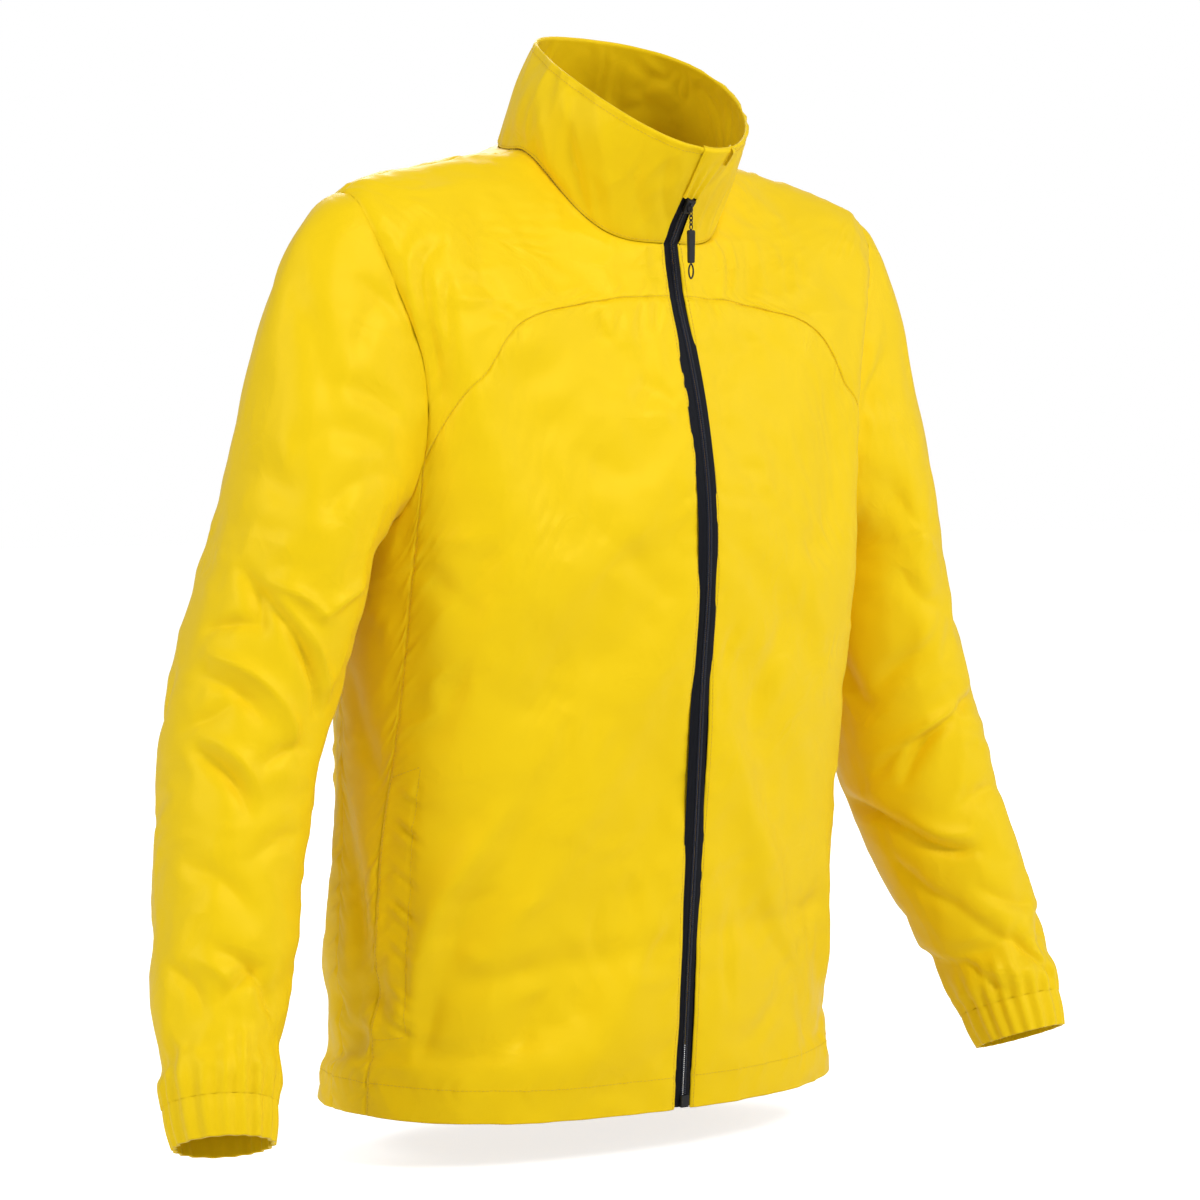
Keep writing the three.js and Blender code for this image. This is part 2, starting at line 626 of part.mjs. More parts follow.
// A tube wall of coarse rings that meet finer rings with twice the columns
function tubeWall(wideRings, fineRings) {
  const points = [];
  const triangles = [];
  const put = (rings, inward) =>
    rings.map((ring) =>
      ring.map(({ outer, normal }) => points.push(outer.clone().addScaledVector(normal, -inward)) - 1));
  const layers = [0, CLOTH_WALL].map((inward) => [put(wideRings, inward), put(fineRings.slice(1), inward)]);
  const faceOut = (layer, face) => triangles.push(layer === 0 ? face : [face[0], face[2], face[1]]);
  layers.forEach(([wide, fine], layer) => {
    const strip = (a, b) => a.forEach((_, i) => {
      const j = (i + 1) % a.length;
      quad(a[i], a[j], b[j], b[i]).forEach((face) => faceOut(layer, face));
    });
    wide.slice(1).forEach((ring, r) => strip(wide[r], ring));
    fine.slice(1).forEach((ring, r) => strip(fine[r], ring));
    const last = wide[wide.length - 1];
    const first = fine[0];
    last.forEach((a, i) => {
      const b = last[(i + 1) % last.length];
      const [p, q, r] = [first[2 * i], first[2 * i + 1], first[(2 * i + 2) % first.length]];
      [[a, q, p], [a, b, q], [b, r, q]].forEach((face) => faceOut(layer, face));
    });
  });
  const rim = (a, b) => a.forEach((_, i) => {
    const j = (i + 1) % a.length;
    triangles.push(...quad(a[i], b[i], b[j], a[j]));
  });
  rim(layers[0][0][0], layers[1][0][0]);
  rim(layers[1][1].at(-1), layers[0][1].at(-1));
  return closedGeometry(points, triangles);
}

function mirrorTo(side, geometry) {
  if (side === 'left') return geometry;
  geometry.scale(-1, 1, 1);
  const index = geometry.getIndex();
  for (let i = 0; i < index.count; i += 3) {
    const second = index.getX(i + 1);
    index.setX(i + 1, index.getX(i + 2));
    index.setX(i + 2, second);
  }
  geometry.computeVertexNormals();
  return geometry;
}

function cuff(side) {
  const arm = curves(SLEEVES[side], 's');
  const { centre, out, forward } = armFrame(arm, SLEEVE_END);
  const lean = point(CUFF_LEAN.x, CUFF_LEAN.y, CUFF_LEAN.z).normalize();
  const angles = doubled(armholeAngles);
  const ring = (down, inward) => angles.map((theta, i) => {
    const a = radians(theta);
    const size = THREE.MathUtils.lerp(1, CUFF_TAPER, down / CUFF_LENGTH);
    const crest = gatherDepth(i, SLEEVE_END) - inward;
    return centre.clone()
      .addScaledVector(lean, down)
      .addScaledVector(out, (arm.outer(SLEEVE_END) * size + crest) * Math.cos(a))
      .addScaledVector(forward, (arm.front(SLEEVE_END) * size + crest) * Math.sin(a));
  });
  const rows = [CUFF_GAP, CUFF_LENGTH / 2, CUFF_LENGTH];
  return mirrorTo(side, wall(rows.map((d) => ring(d, 0)), rows.map((d) => ring(d, CUFF_WALL)), true));
}

// The zip runs up the body and on up the collar. w is the body's v, then goes on by the collar's height.
const COLLAR_FRONT_LENGTH = collarPoint(0, 0).distanceTo(collarPoint(0, 1));
const zipEnd = BODY_TOP + ZIP_TOP * COLLAR_FRONT_LENGTH;
const ZIP_HALF = ZIP_WIDTH / 2 - 2 * SEAM_GAP;
function zipPlace(x, w) {
  if (w <= BODY_TOP) {
    const at = foldedBodyPoint(0, w);
    return { at: point(x, at.y, at.z), normal: bodyNormal(0, w) };
  }
  const t = (w - BODY_TOP) / COLLAR_FRONT_LENGTH;
  const at = collarPoint(0, t);
  return { at: point(x, at.y, at.z), normal: collarNormal(0, t) };
}

function stripOnZip(xFrom, xTo, wFrom, wTo, count, proud, thick) {
  const rows = steps(wFrom, wTo, count);
  const grid = (lift) => rows.map((w) => [xFrom, xTo].map((x) => {
    const { at, normal } = zipPlace(x, w);
    return at.addScaledVector(normal, lift);
  }));
  return wall(grid(proud), grid(proud - thick));
}

function zipTape(side) {
  const strip = stripOnZip(CHAIN_GAP / 2, ZIP_HALF, ZIP_FOOT, zipEnd, ZIP_ROWS, -ZIP_SET_IN, ZIP_WALL);
  return mirrorTo(side, strip);
}

const collarTop = BODY_TOP + COLLAR_FRONT_LENGTH;
const garageWall = () =>
  stripOnZip(-ZIP_HALF, ZIP_HALF, zipEnd + SEAM_GAP, collarTop, GARAGE.rows, GARAGE.proud, GARAGE.wall);

// Hard pieces of the zip sit flat on it: their Y runs up the zip and their Z points away from the cloth
function onZip(geometry, w, lift) {
  const { at, normal } = zipPlace(0, w);
  const up = zipPlace(0, w + 4).at.sub(zipPlace(0, w - 4).at).normalize();
  const across = point(1, 0, 0);
  const frame = new THREE.Matrix4().makeBasis(across, up, new THREE.Vector3().crossVectors(across, up));
  const place = at.addScaledVector(normal, lift);
  return geometry.applyMatrix4(frame).translate(place.x, place.y, place.z);
}

function taperedBlock(width, endWidth, length, depth) {
  const shape = new THREE.Shape();
  shape.moveTo(-width / 2, length / 2);
  shape.lineTo(-endWidth / 2, -length / 2);
  shape.lineTo(endWidth / 2, -length / 2);
  shape.lineTo(width / 2, length / 2);
  shape.closePath();
  return new THREE.ExtrudeGeometry(shape, { depth, bevelEnabled: false });
}

const SLIDER_AT = zipEnd - SLIDER.length / 2 - SLIDER.below;
const sliderBody = () =>
  onZip(taperedBlock(SLIDER.width, SLIDER.footWidth, SLIDER.length, SLIDER.depth), SLIDER_AT, SLIDER.lift);
function bottomBox() {
  const { width, length, depth, lift } = BOTTOM_BOX;
  return onZip(taperedBlock(width, width, length, depth), ZIP_FOOT + length / 2, lift);
}

// The pull hangs straight down from just in front of the slider
const sliderFace = (() => {
  const { at, normal } = zipPlace(0, SLIDER_AT);
  return at.addScaledVector(normal, SLIDER.depth + SLIDER.lift);
})();
const HINGE = point(0, sliderFace.y - PULL.linkRadius - PULL.clear, sliderFace.z);

const linkFoot = HINGE.z - PULL.linkLength + PULL.linkRadius;
const gripTop = linkFoot - SEAM_GAP;
const gripFoot = gripTop - PULL.gripLength;

function roundedRod(radius, length) {
  return new THREE.CapsuleGeometry(radius, length - 2 * radius, 3, 10).rotateX(Math.PI / 2);
}

function pullLink() {
  return roundedRod(PULL.linkRadius, PULL.linkLength)
    .translate(HINGE.x, HINGE.y, linkFoot + PULL.linkLength / 2);
}

// The grip narrows downwards, and its four corners are round
function pullGrip() {
  const corner = PULL.gripCorner;
  const top = PULL.gripWidth / 2;
  const foot = top * PULL.gripTaper;
  const end = -PULL.gripLength;
  const shape = new THREE.Shape();
  shape.moveTo(-top + corner, 0);
  shape.lineTo(top - corner, 0);
  shape.quadraticCurveTo(top, 0, top, -corner);
  shape.lineTo(foot, end + corner);
  shape.quadraticCurveTo(foot, end, foot - corner, end);
  shape.lineTo(-foot + corner, end);
  shape.quadraticCurveTo(-foot, end, -foot, end + corner);
  shape.lineTo(-top, -corner);
  shape.quadraticCurveTo(-top, 0, -top + corner, 0);
  return new THREE.ExtrudeGeometry(shape, { depth: PULL.gripDepth, bevelEnabled: false, curveSegments: 3 })
    .rotateX(Math.PI / 2)
    .translate(HINGE.x, HINGE.y + PULL.gripDepth / 2, gripTop);
}

// The loop is a ring drawn out downwards
function pullLoop() {
  const ring = PULL.loopWidth / 2 - PULL.loopCord;
  const stretch = PULL.loopLength / PULL.loopWidth;
  return new THREE.TorusGeometry(ring, PULL.loopCord, 6, 16)
    .scale(1, stretch, 1)
    .rotateX(Math.PI / 2)
    .translate(HINGE.x, HINGE.y, gripFoot - SEAM_GAP - PULL.loopLength / 2);
}

const jacket = new THREE.Group();

function add(name, geometry, look) {
  const mesh = new THREE.Mesh(geometry, new THREE.MeshStandardMaterial(look));
  mesh.name = name;
  jacket.add(mesh);
}

for (const side of ['right', 'left']) {
  add(`front_${side}`, frontPanel(side), YELLOW);
  add(`front_yoke_${side}`, yokePanel(side), YELLOW);
  add(`side_panel_${side}`, sidePanel(side), YELLOW);
  add(`sleeve_${side}`, sleeve(side), YELLOW);
  add(`cuff_${side}`, cuff(side), YELLOW);
  add(`pocket_facing_${side}`, pocketFacing(side), YELLOW);
  add(`zip_tape_${side}`, zipTape(side), BLACK_TAPE);
}
add('back', backPanel(), YELLOW);
add('collar', collarBand(), YELLOW);
add('zip_garage', garageWall(), YELLOW);
add('neck_lining', neckLining(), INNER_YELLOW);
add('zip_slider', sliderBody(), BLACK_METAL);
add('zip_bottom_box', bottomBox(), BLACK_TAPE);
add('pull_link', pullLink(), BLACK_METAL);
add('pull_grip', pullGrip(), RUBBER);
add('pull_loop', pullLoop(), BLACK_TAPE);

export default jacket;
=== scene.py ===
"""A light windbreaker jacket, filled out as if worn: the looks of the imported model."""
import math

import bmesh
import bpy
import numpy as np
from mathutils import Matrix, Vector, noise


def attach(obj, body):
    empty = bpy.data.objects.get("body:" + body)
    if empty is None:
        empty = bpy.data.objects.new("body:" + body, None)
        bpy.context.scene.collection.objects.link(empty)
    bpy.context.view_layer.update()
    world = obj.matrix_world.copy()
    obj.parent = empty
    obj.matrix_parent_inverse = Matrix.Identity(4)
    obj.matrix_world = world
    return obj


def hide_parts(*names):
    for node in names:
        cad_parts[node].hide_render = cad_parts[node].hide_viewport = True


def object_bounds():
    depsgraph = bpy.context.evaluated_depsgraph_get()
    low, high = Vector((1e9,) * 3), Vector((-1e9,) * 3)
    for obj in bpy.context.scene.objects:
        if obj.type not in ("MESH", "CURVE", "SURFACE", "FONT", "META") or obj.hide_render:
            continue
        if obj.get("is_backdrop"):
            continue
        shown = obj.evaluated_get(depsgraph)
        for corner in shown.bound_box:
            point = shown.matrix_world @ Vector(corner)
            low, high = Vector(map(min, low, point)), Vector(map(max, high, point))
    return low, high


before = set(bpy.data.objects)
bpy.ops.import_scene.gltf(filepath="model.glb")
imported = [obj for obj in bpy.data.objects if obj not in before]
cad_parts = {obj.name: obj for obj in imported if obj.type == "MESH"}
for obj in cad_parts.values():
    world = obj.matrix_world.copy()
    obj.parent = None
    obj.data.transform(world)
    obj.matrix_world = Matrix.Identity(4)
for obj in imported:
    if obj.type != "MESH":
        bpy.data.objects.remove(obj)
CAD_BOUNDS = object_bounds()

bl_info = {
    "name": "Windbreaker jacket",
    "version": (1, 0, 0),
    "blender": (4, 5, 0),
    "location": "3D View > Sidebar > Jacket",
    "description": "Makes a light windbreaker jacket from its cut, with its cloth, sewing and zip",
    "category": "Object",
}

# The cut's surfaces are worked out in millimetres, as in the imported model
MM = 0.001


def rows_of(names, rows):
    """A table with named columns."""
    return {name: np.array(column, float) for name, column in zip(names.split(), zip(*rows))}


# The body's rings, from the hem up to the neck seam
BODY_TOP = 636
BODY_RINGS = rows_of("v front_y front_z side_x side_y side_z back_y back_z square rise", [
    (0, -92, -704, 217, 35, -700, 160, -700, 0.02, 4),
    (100, -99, -603, 213, 31, -600, 162, -600, 0.02, 2),
    (210, -108, -493, 208, 26, -491, 157, -492, 0.02, 2),
    (320, -116, -385, 210, 20, -384, 157, -384, 0.02, 2),
    (400, -123, -305, 214, 15, -312, 159, -300, 0.02, 2),
    (450, -122, -256, 215, 11, -262, 156, -242, 0.015, 2),
    (505, -112, -196, 227, 5, -150, 146, -160, 0.01, 2.2),
    (560, -97, -143, 236, -2, -38, 120, -82, 0, 2.6),
    (600, -85, -108, 160, -2, -14, 98, -28, 0, 3.4),
    (BODY_TOP, -78, -70, 86, -2, 0, 75, 12, 0, 4),
])

# The collar's rings, from the neck seam to the top edge
COLLAR_RINGS = rows_of("t front_y side_x side_y back_y", [
    (0, -78, 86, -2, 75),
    (0.33, -91, 86, -16, 66),
    (0.66, -109, 83, -30, 55),
    (1, -128, 74, -41, 44),
])
COLLAR_EDGE_MIDDLE = 42
COLLAR_EDGE_LEAN = 48
COLLAR_EDGE_BULGE = 13

# The armhole on the body's rings
ARMHOLE_V = 499
ARMHOLE_HALF = 61
ARMHOLE_FRONT = 28.5
ARMHOLE_BACK = 27
ROUND_TOP = 0.8
ROUND_BOTTOM = 0.95
SIDE_CORNER = 118.4
SIDE_CORNER_V = 470
SIDE_CORNER_PHI = 64.8
SHOULDER_SEAM = 90
YOKE_AT_ZIP = 598
HEM_FOLD = 24

# Seam lines: degrees round the body at a height along the cloth
FRONT_SEAM = rows_of("v phi", [
    (0, 78.5), (128, 78.7), (200, 78.6), (266, 75.4), (322, 72.6), (404, 69.6), (445, 67.6),
    (SIDE_CORNER_V, SIDE_CORNER_PHI),
])
BACK_SEAM = rows_of("v phi", [(0, 96), (100, 97), (200, 99), (283, 101), (400, 107), (SIDE_CORNER_V, 113.9)])
YOKE_SEAM = rows_of("phi v", [
    (0, YOKE_AT_ZIP), (10, 597), (20, 592), (28, 576), (33, 555), (38, 534), (44, 514), (51, 499),
    (SIDE_CORNER_PHI, SIDE_CORNER_V),
])

# Sleeve sections along each arm
SLEEVES = {
    "right": rows_of("s x y z outer front", [
        (0, 276, 6, -284, 52, 69), (60, 292, 13, -340, 57, 67), (125, 312, 16, -405, 56, 62),
        (200, 330, 6, -478, 52, 57), (280, 346, -10, -557, 49, 53), (340, 358, -25, -615, 45, 49),
        (375, 364, -40, -648, 42, 46), (398, 368, -48, -669, 38, 41),
    ]),
    "left": rows_of("s x y z outer front", [
        (0, 271, 14, -284, 47, 68), (60, 282, 16, -340, 55, 67), (125, 306, 18, -405, 58, 65),
        (200, 324, 10, -478, 57, 62), (280, 348, -10, -557, 52, 56), (340, 366, -29, -615, 48, 51),
        (375, 368, -41, -646, 44, 47), (398, 369, -48, -665, 39, 41),
    ]),
}
CAP_FULLNESS = {"right": 0.85, "left": 0.5}
CAP_LEAVING = rows_of("theta across down lead", [(0, 0.93, 0.37, 1), (90, 0.75, 0.66, 0.75), (180, 0.6, 0.8, 0.6)])
CAP_SPAN = 5
SLEEVE_END = 398
CUFF_LENGTH = 28
CUFF_LEAN = (0.11, -0.35, -0.93)
CUFF_TAPER = 0.9

# The cloth's grid before it is made finer: points along each seam
FRONT_COLUMNS = 28
SEAM_ROWS = 64
ARMHOLE_STEPS = {"yoke": 20, "side": 13, "back": 20}
BACK_COLUMNS = 80
SHOULDER_STEPS = 14
CAP_ROWS = 14
SLEEVE_ROWS = 56
FINER = 3
SEAM_LINES = (0.0, 0.12, 0.4)
HEM_ROWS = 3
ROWS_FOLLOW_SIDES = 0.4

# How the sewn shell settles: steps, how much larger the cloth is cut, and how far a point may move
SETTLING_STEPS = 24
CLOTH_EASE = 0.016
MOST_SETTLING = 7
SMOOTHING_ROUNDS = 5

# Uneven cloth between the folds, in millimetres
CRUMPLE_SIZE = 42
CRUMPLE_HEIGHT = 1.5

# How much deeper the folds are than in the tables below
BODY_FOLD_STRENGTH = 1.6
SLEEVE_FOLD_STRENGTH = 1.9

# Zip: it runs up the body and on up the collar, where the garage covers its end
ZIP_TOP = 0.52
ZIP_FOOT = 1
TOOTH_PITCH = 1.5
TAPE_SECTION = [(0.25, -0.7), (1.2, -0.5), (3.2, -0.5), (5.4, -0.7), (6.6, -1.5), (9.0, -1.9)]
SLIDER_AT_BELOW_END = 7.5
HINGE = (0, -100.8605, -45.2014)

# The mesh lining hangs inside the back from here up to the neck
LINING_FROM = 585

# Pocket mouth, along the front's side seam
POCKET_FROM = 62
POCKET_TO = 253
POCKET_DEPTH = 29

# Folds, listed one by one. On the body from (phi, v) to (phi, v), on a sleeve from (theta, s) to (theta, s).
# bow bends one sideways, a positive depth is a trough, and sharp is 1 for a crisp crease.
FOLD_COLUMNS = "u0 v0 u1 v1 bow width depth sharp"
BODY_FOLDS = [
    # Down from the right shoulder over the yoke
    (-58, 594, -34.5, 547, 4, 9, 2.6, 0.3),
    (-54.5, 604, -32, 582, -3, 7, -1.6, 0.3),
    (-62, 588, -45, 545, 3, 8, -1.4, 0.2),
    (-55.5, 567, -57.5, 496, 3, 7, 2.6, 0.5),
    (-50, 552, -54, 514, -2, 6, 1.8, 0.4),
    (-60, 560, -62, 505, 0, 7, -1.6, 0.3),
    # Gathers under the right yoke's seam
    (-20, 582, -17.5, 560, 0, 3.6, 1.3, 0.3),
    (-16, 586, -14, 563, 0, 3.4, 1.2, 0.3),
    (-11, 589, -10, 564, 0, 3.6, 1.4, 0.3),
    (-7, 592, -6.5, 568, 0, 3.4, 1.2, 0.3),
    # Ridges over the left yoke's seam
    (31.5, 630, 15, 600, 3, 5, -1.6, 0.3),
    (39, 627, 20.5, 601, 2, 4.5, -1.3, 0.3),
    (46.5, 615, 28.5, 592, 2, 5, -1.5, 0.3),
    (49, 604, 32, 583, -2, 4.5, -1.3, 0.3),
    (48.5, 595, 33.5, 576, 1, 5, -1.4, 0.3),
    (35, 626, 18, 600, 2, 5, 1.2, 0.2),
    (43, 618, 25, 596, 2, 5, 1.2, 0.2),
    # Over the right front
    (-43, 231, -65.5, 106, 8, 15, -4.0, 0.1),
    (-38, 215, -60, 80, 6, 16, 2.6, 0.1),
    (-29.5, 99, -36.5, 48, 3, 11, 2.6, 0.2),
    (-34.5, 189, -42.5, 139, -3, 13, -2.0, 0.1),
    (-51, 175, -57, 117, 4, 12, 2.4, 0.2),
    (-59, 88, -61, 46, 0, 9, 2.0, 0.2),
    (-23, 349, -36, 306, 6, 17, 1.6, 0),
    (-53, 351, -60.5, 291, -4, 13, 2.0, 0.1),
    (-14, 304, -22, 246, 5, 15, 1.6, 0),
    (-46, 426, -53, 366, 5, 15, 1.8, 0),
    (-64, 412, -53, 382, 3, 11, 2.0, 0.2),
    (-30.5, 489, -14.5, 470, 6, 18, 1.3, 0),
    (-24, 541, -38, 511, -4, 14, 1.4, 0),
    (-19, 163, -20.5, 114, 3, 8, 1.8, 0.3),
    (-4, 133, -10, 100, 2, 7, 1.6, 0.3),
    (-19.5, 421, -11, 376, -4, 14, 1.3, 0),
    (-2.5, 502, -9.5, 529, 3, 9, 1.3, 0.1),
    # Over the left front, beside the zip
    (4.5, 384, 1.5, 364, 1, 6, 1.8, 0.3),
    (8, 355, 4, 315, 2, 7, 2.2, 0.3),
    (4, 315, 4, 285, -2, 6, 1.8, 0.3),
    (10.5, 151, 10, 70, 3, 8, 2.0, 0.2),
    (22, 355, 14, 275, 6, 14, 2.6, 0.1),
    (18, 403, 34.5, 342, 6, 15, 1.8, 0),
    (15.5, 255, 31, 174, 8, 15, 2.2, 0),
    (48, 190, 62, 60, 6, 15, -3.4, 0),
    (17, 499, 25, 462, 4, 14, 1.5, 0),
    # Side panels
    (-97, 234, -76.5, 85, 6, 13, 4.0, 0.3),
    (-88, 190, -84, 60, 4, 12, 2.6, 0.1),
    (-98, 87, -83, 64, 7, 9, 3.0, 0.4),
    (-94, 330, -80, 250, 4, 12, 2.4, 0.2),
    (97, 230, 78, 90, 6, 13, 3.6, 0.2),
    (88, 330, 92, 250, 4, 12, 2.6, 0.1),
    (95, 100, 82, 60, 5, 10, 2.6, 0.3),
    # The back, hidden in the photograph
    (150, 430, 175, 330, 10, 18, 3.6, 0),
    (-150, 420, -170, 300, 10, 18, 3.6, 0),
    (128, 250, 150, 120, 8, 16, -3.6, 0),
    (-130, 210, -155, 90, 8, 16, 3.4, 0),
    (172, 180, -170, 60, 6, 14, 2.6, 0),
    (125, 470, 150, 400, 8, 13, 3.0, 0.2),
    (-125, 470, -148, 390, 8, 13, 3.0, 0.2),
    (135, 360, 165, 300, 6, 14, 2.4, 0.1),
    (-138, 330, -160, 240, 7, 14, 2.4, 0.1),
    (112, 300, 118, 190, 4, 13, 3.0, 0.1),
    (-112, 310, -120, 180, 4, 13, 3.0, 0.1),
    (160, 120, 165, 40, 3, 12, 2.2, 0.1),
    (-165, 560, -150, 500, 5, 14, 1.8, 0),
    (158, 575, 145, 505, 5, 13, 1.8, 0),
    (185, 300, 180, 210, 5, 15, 2.0, 0),
]
COLLAR_FOLDS = [
    (-86, 0.56, -60, 0.02, 3, 8, -2.4, 0.1),
    (-72, 0.75, -47, 0.08, 3, 6, 2.6, 0.3),
    (-79, 0.02, -46, 0.03, 0, 3.5, 1.4, 0.4),
    (-58, 0.8, -34, 0.12, -3, 8, -1.8, 0.1),
    (-36, 0.82, -18, 0.16, 3, 7, 1.8, 0.2),
    (-22, 0.8, -4, 0.15, 2, 5, 1.4, 0.2),
    (-112, 0.25, -80, 0.03, 0, 8, 2.2, 0.2),
    (-104, 0.8, -96, 0.2, 3, 9, -2.0, 0.1),
    (30, 0.95, 9, 0.6, 2, 5, 1.5, 0.3),
    (48, 0.8, 28, 0.15, 3, 7, 2.2, 0.2),
    (68, 0.85, 52, 0.1, -3, 8, -2.0, 0.1),
    (92, 0.75, 78, 0.05, 3, 7, 2.2, 0.3),
    (122, 0.8, 112, 0.2, 3, 9, 1.8, 0.1),
    (150, 0.7, 160, 0.1, 3, 9, 1.8, 0.1),
    (-140, 0.75, -128, 0.1, 3, 9, 2.0, 0.1),
    (-165, 0.65, -172, 0.1, 3, 9, 1.6, 0.1),
]
SLEEVE_FOLDS = {
    "right": [
        (44, -4.2, 73, -4.84, 3, 8, 3.6, 0.7),
        (33, -4.68, 44, -4.9, 0, 7, 2.6, 0.6),
        (18, -3.1, 55, -2.0, 6, 13, 2.0, 0.4),
        (-19, -0.8, 48, -0.7, 6, 16, 1.8, 0.3),
        (68, -0.9, 113, -3.1, 6, 12, 3.0, 0.5),
        (40, -1.5, 97, -2.8, 6, 12, 2.2, 0.4),
        (49, -2.5, 91, -3.6, 3, 10, 2.2, 0.5),
        (40, 39, 109, 112, 6, 6.5, 4.2, 0.9),
        (52, 39, 115, 98, 4, 7, -2.6, 0.7),
        (42, 30, 85, 42, 4, 7, -3.2, 0.7),
        (85, 42, 116, 13, 3, 7, -3.0, 0.7),
        (21, 27, 47, 66, 5, 9, 4.2, 0.6),
        (10, 76, 46, 64, 3, 7, 3.0, 0.7),
        (17, 92, 78, 112, 6, 8, -3.6, 0.7),
        (78, 112, 98, 148, 3, 8, -3.2, 0.6),
        (20, 106, 70, 128, 4, 8, 3.0, 0.6),
        (47, 117, 14, 142, 4, 9, 2.4, 0.5),
        (29, 160, 70, 198, 5, 9, 4.6, 0.7),
        (36, 150, 76, 184, 5, 8, -2.6, 0.6),
        (75, 166, 110, 144, 4, 9, 3.0, 0.6),
        (26, 237, 75, 262, 5, 11, 2.6, 0.4),
        (79, 228, 117, 208, 4, 10, 2.4, 0.5),
        (53, 291, 116, 339, 8, 9, 3.4, 0.7),
        (61, 334, 99, 300, 4, 8, 2.6, 0.6),
        (14, 303, 48, 342, 5, 9, 2.6, 0.5),
        (40, 300, 70, 322, 3, 8, -2.2, 0.5),
        (-60, 90, -110, 130, 6, 13, 4.4, 0.5),
        (-40, 200, -80, 240, 6, 13, 3.6, 0.4),
        (-150, 300, -100, 330, 5, 11, 3.0, 0.5),
        (-20, 110, -55, 150, 5, 11, 3.0, 0.5),
        (-120, 40, -80, 70, 5, 12, 3.2, 0.5),
        (150, 60, 175, 110, 4, 10, 3.2, 0.6),
        (140, 150, 178, 190, 4, 10, 3.0, 0.6),
        (-160, 170, -120, 210, 5, 11, 3.0, 0.5),
        (-30, 280, -70, 310, 5, 11, 2.6, 0.4),
    ],
    "left": [
        (54, -4.92, 80, -4.6, 3, 8, 3.4, 0.7),
        (63, -3.7, 128, -4.85, 5, 9, 3.2, 0.6),
        (60, -4.2, 110, -4.5, 4, 8, -2.2, 0.6),
        (105, -2.3, 93, -0.5, 4, 12, 2.2, 0.4),
        (117, 18, 81, 58, 6, 13, 2.6, 0.4),
        (99, 84, 145, 103, 5, 11, 3.2, 0.5),
        (175, 55, 159, 117, 6, 14, 4.6, 0.4),
        (45, 141, 97, 153, 4, 8, 3.4, 0.7),
        (97, 153, 145, 192, 5, 8, 4.4, 0.8),
        (90, 142, 150, 178, 5, 8, -2.8, 0.6),
        (106, 158, 163, 182, 4, 8, 2.6, 0.7),
        (54, 228, 113, 226, 4, 11, 2.8, 0.5),
        (215, 200, 156, 234, -6, 9, 5.0, 0.7),
        (156, 234, 110, 264, 6, 9, 5.0, 0.8),
        (150, 222, 112, 250, 6, 9, -3.2, 0.6),
        (180, 252, 149, 294, 4, 9, 3.6, 0.7),
        (109, 340, 66, 388, 4, 7, 3.0, 0.7),
        (146, 297, 99, 352, 6, 9, 3.4, 0.6),
        (123, 289, 67, 324, 5, 9, 2.8, 0.6),
        (167, 354, 135, 392, 3, 7, 2.6, 0.6),
        (-60, 100, -110, 140, 6, 13, 4.4, 0.5),
        (-40, 190, -80, 240, 6, 13, 3.6, 0.4),
        (-150, 290, -100, 330, 5, 11, 3.0, 0.5),
        (-20, 120, -60, 160, 5, 11, 3.0, 0.5),
        (30, 330, 70, 355, 4, 9, 2.6, 0.5),
        (20, 60, 60, 95, 5, 12, 2.4, 0.4),
        (-130, 40, -90, 75, 5, 12, 3.0, 0.5),
    ],
}


def through(table, key, column, at):
    """A smooth curve through a table's rows."""
    x, y = table[key], table[column]
    h = np.diff(x)
    rate = np.diff(y) / h
    middle = (rate[:-1] * h[1:] + rate[1:] * h[:-1]) / (h[:-1] + h[1:])
    slope = np.concatenate([rate[:1], middle, rate[-1:]])
    at = np.clip(at, x[0], x[-1])
    i = np.clip(np.searchsorted(x, at) - 1, 0, len(x) - 2)
    s = (at - x[i]) / h[i]
    rise = y[i] * (2 * s**3 - 3 * s**2 + 1) + y[i + 1] * (3 * s**2 - 2 * s**3)
    return rise + h[i] * (slope[i] * (s**3 - 2 * s**2 + s) + slope[i + 1] * (s**3 - s**2))


def unit(vectors):
    """Vectors of length 1."""
    return vectors / np.maximum(np.linalg.norm(vectors, axis=-1, keepdims=True), 1e-9)


def smoothstep(value, low, high):
    """0 below low, 1 above high, and smooth between."""
    t = np.clip((value - low) / (high - low), 0, 1)
    return t * t * (3 - 2 * t)


def body_point(phi, v):
    """The body's smooth outer surface. phi is 0 at the centre front and 90 at the wearer's left."""
    phi, v = np.broadcast_arrays(np.asarray(phi, float), np.asarray(v, float))
    a = np.radians(phi)
    k = through(BODY_RINGS, "v", "square", v)
    across = (np.sin(a) + k * np.sin(3 * a)) / (1 - k)
    along = (np.cos(a) - k * np.cos(3 * a)) / (1 - k)
    in_front = along >= 0
    reach = np.where(in_front, through(BODY_RINGS, "v", "front_y", v), through(BODY_RINGS, "v", "back_y", v))
    low = np.where(in_front, through(BODY_RINGS, "v", "front_z", v), through(BODY_RINGS, "v", "back_z", v))
    side_y = through(BODY_RINGS, "v", "side_y", v)
    climb = np.abs(np.sin(a)) ** through(BODY_RINGS, "v", "rise", v)
    y = side_y + (reach - side_y) * np.abs(along)
    z = low + (through(BODY_RINGS, "v", "side_z", v) - low) * climb
    return np.stack([through(BODY_RINGS, "v", "side_x", v) * across, y, z], -1)


